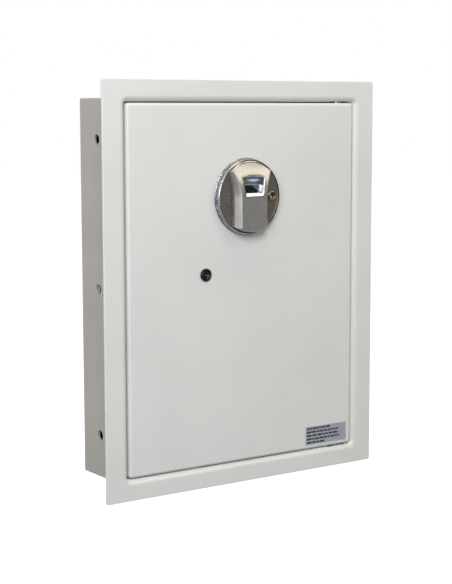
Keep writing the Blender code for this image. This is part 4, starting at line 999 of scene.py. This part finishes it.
def dress_nodes():
    """Finishes for the pieces whose CAD shape is right."""
    for word in ("upper", "lower"):
        dress(word + "_hinge_bracket", zinc)
        dress(word + "_pivot_block", zinc_dark)
        dress(word + "_hinge_pin", bright, 0.0)
        dress(word + "_hinge_washer", bright, 0.0003)
        dress(word + "_bolt_guide", zinc_dark, 0.0004)
        dress(word + "_cover_pillar", zinc, 0.0003)
        dress(word + "_shelf", coat_inner, 0.0004)
        dress(word + "_bolt", bright, 0.0)
    for side in ("left", "right"):
        dress(side + "_shelf_rail", coat_inner, 0.0003)
    dress("bolt_strike", coat_body, 0.0005)
    dress("floor_mat", mat_finish, 0.0008)
    dress("mechanism_cover", coat_inner, 0.0003)
    dress("electronics_tray", tray_plastic, 0.0003)
    dress("battery_lid", tray_plastic, 0.0004)
    dress("lock_case", zinc_dark, 0.0006)
    dress("lock_pin", bright, 0.0)
    dress("spindle_bush", brass, 0.0002)
    dress("knob_spindle", zinc, 0.0003)
    dress("spindle_cam", zinc, 0.0003)
    dress("cam_screw", bright, 0.0)
    dress("bolt_carriage", zinc, 0.0004)
    dress("override_lock_nut", zinc, 0.0003)
    dress("key_cam", brass, 0.0003)
    board = moulded_plastic("board_green", (0.02, 0.13, 0.055), 0.35, 0.0009)
    dress("control_board", board, 0.0)
    dress("sensor_cable", sheath, 0.0)
    cell = polished("cell_jacket", (0.03, 0.08, 0.20), 0.22, 0.2, 0.10)
    for number in range(1, 5):
        dress("battery_" + str(number), cell, 0.0)
        dress("cover_screw_" + str(number), bright, 0.0)


# --- studio ------------------------------------------------------------------------------------

# Name, place, size, power and colour of each soft light; all face the safe
LIGHTS = [
    ("key_light", (-0.9, -1.6, 1.2), 0.8, 24.6, (0.94, 0.97, 1.0)),
    ("left_key", (-1.6, -1.2, 0.6), 0.8, 14.4, (0.83, 0.90, 1.0)),
    ("left_low", (-1.65, -1.15, -0.10), 0.45, 0.9, (0.92, 0.94, 1.0)),
    ("warm_right", (1.60, -0.50, 1.20), 0.5, 0.9, (1.0, 0.78, 0.50)),
    ("right_card", (1.14, -1.44, 0.98), 0.66, 5.2, (1.0, 0.92, 0.74)),
    ("crown_card", (0.94, -1.18, 1.47), 0.44, 2.3, (1.0, 0.92, 0.74)),
    ("low_card", (1.14, -1.40, -0.80), 0.50, 1.8, (0.84, 0.92, 1.0)),
    ("top_light", (0.0, -0.3, 1.7), 0.8, 8.0, (1.0, 0.84, 0.56)),
    ("left_card", (-1.9, 0.3, 0.3), 1.0, 9.8, (1.0, 0.955, 0.94)),
]
FILL = 0.14
FILL_COLOUR = (1.0, 0.99, 0.90)
FLOOR_DROP = 0.42
CAMERA_LENS = 89.62
CAMERA_PLACE = (-1.0498, -1.4711, 0.2148)
CAMERA_YAW = math.radians(34.77)
CAMERA_PITCH = math.radians(7.10)
CAMERA_ROLL = math.radians(-0.12)


def make_floor():
    """The pale floor, well below the safe, which hangs in a wall."""
    scene = bpy.context.scene
    floor_z = flange_low.z - FLOOR_DROP
    bm = bmesh.new()
    bmesh.ops.create_grid(bm, x_segments=2, y_segments=2, size=14.0,
                          matrix=Matrix.Translation((0, 0, floor_z)))
    mesh = bpy.data.meshes.new("floor")
    bm.to_mesh(mesh)
    bm.free()
    floor = bpy.data.objects.new("floor", mesh)
    scene.collection.objects.link(floor)
    material, tree, shader = new_tree("floor_pale", Roughness=0.9)
    shader.inputs["Emission Color"].default_value = (1, 1, 1, 1)
    shader.inputs["Emission Strength"].default_value = 1.0
    wire(tree, ramp(tree, noise(tree, 0.5), (0.86, 0.86, 0.86), (0.88, 0.88, 0.88)),
         shader.inputs["Base Color"])
    mesh.materials.append(material)
    floor.visible_diffuse = False
    floor.visible_glossy = False
    floor.visible_shadow = False


def make_world():
    """A white backdrop for the camera and a dim warm fill for everything else."""
    world = bpy.data.worlds.new("studio")
    bpy.context.scene.world = world
    world.use_nodes = True
    tree = world.node_tree
    backdrop = tree.nodes["Background"]
    backdrop.inputs["Color"].default_value = (1, 1, 1, 1)
    backdrop.inputs["Strength"].default_value = 1.0
    fill = add(tree, "Background", {"Color": (*FILL_COLOUR, 1), "Strength": FILL})
    path = add(tree, "LightPath")
    mix = add(tree, "MixShader")
    wire(tree, path.outputs["Is Camera Ray"], mix.inputs["Fac"])
    wire(tree, fill.outputs["Background"], mix.inputs[1])
    wire(tree, backdrop.outputs["Background"], mix.inputs[2])
    wire(tree, mix.outputs["Shader"], tree.nodes["World Output"].inputs["Surface"])


def make_camera():
    """The camera, in front of the safe on its left and a little above it."""
    scene = bpy.context.scene
    scene.view_settings.view_transform = "Standard"
    scene.view_settings.look = "None"
    camera = bpy.data.cameras.new("camera")
    camera.lens = CAMERA_LENS
    camera.sensor_width = 36.0
    camera.clip_end = 50.0
    item = bpy.data.objects.new("camera", camera)
    scene.collection.objects.link(item)
    ahead = Vector((math.sin(CAMERA_YAW) * math.cos(CAMERA_PITCH),
                    math.cos(CAMERA_YAW) * math.cos(CAMERA_PITCH), -math.sin(CAMERA_PITCH)))
    right = Vector((math.cos(CAMERA_YAW), -math.sin(CAMERA_YAW), 0))
    up = right.cross(ahead)
    tilted = right * math.cos(CAMERA_ROLL) + up * math.sin(CAMERA_ROLL)
    raised = up * math.cos(CAMERA_ROLL) - right * math.sin(CAMERA_ROLL)
    turn = Matrix((tilted, raised, -ahead)).transposed().to_4x4()
    item.matrix_world = Matrix.Translation(CAMERA_PLACE) @ turn
    scene.camera = item


def make_light(name, place, size, power, colour):
    """A square soft light that faces the flange's centre."""
    light = bpy.data.lights.new(name, "AREA")
    light.shape = "SQUARE"
    light.size = size
    light.energy = power
    light.color = colour
    item = bpy.data.objects.new(name, light)
    item.location = place
    item.rotation_euler = (-Vector(place)).to_track_quat("-Z", "Y").to_euler()
    bpy.context.scene.collection.objects.link(item)


make_floor()
make_world()
for light in LIGHTS:
    make_light(*light)
make_camera()
make_flange()
make_shell()
make_door()
make_label()
make_ring()
make_disc()
make_grip()
make_lining()
make_scoop()
make_sensor()
make_socket()
make_key_lock()
dress_nodes()
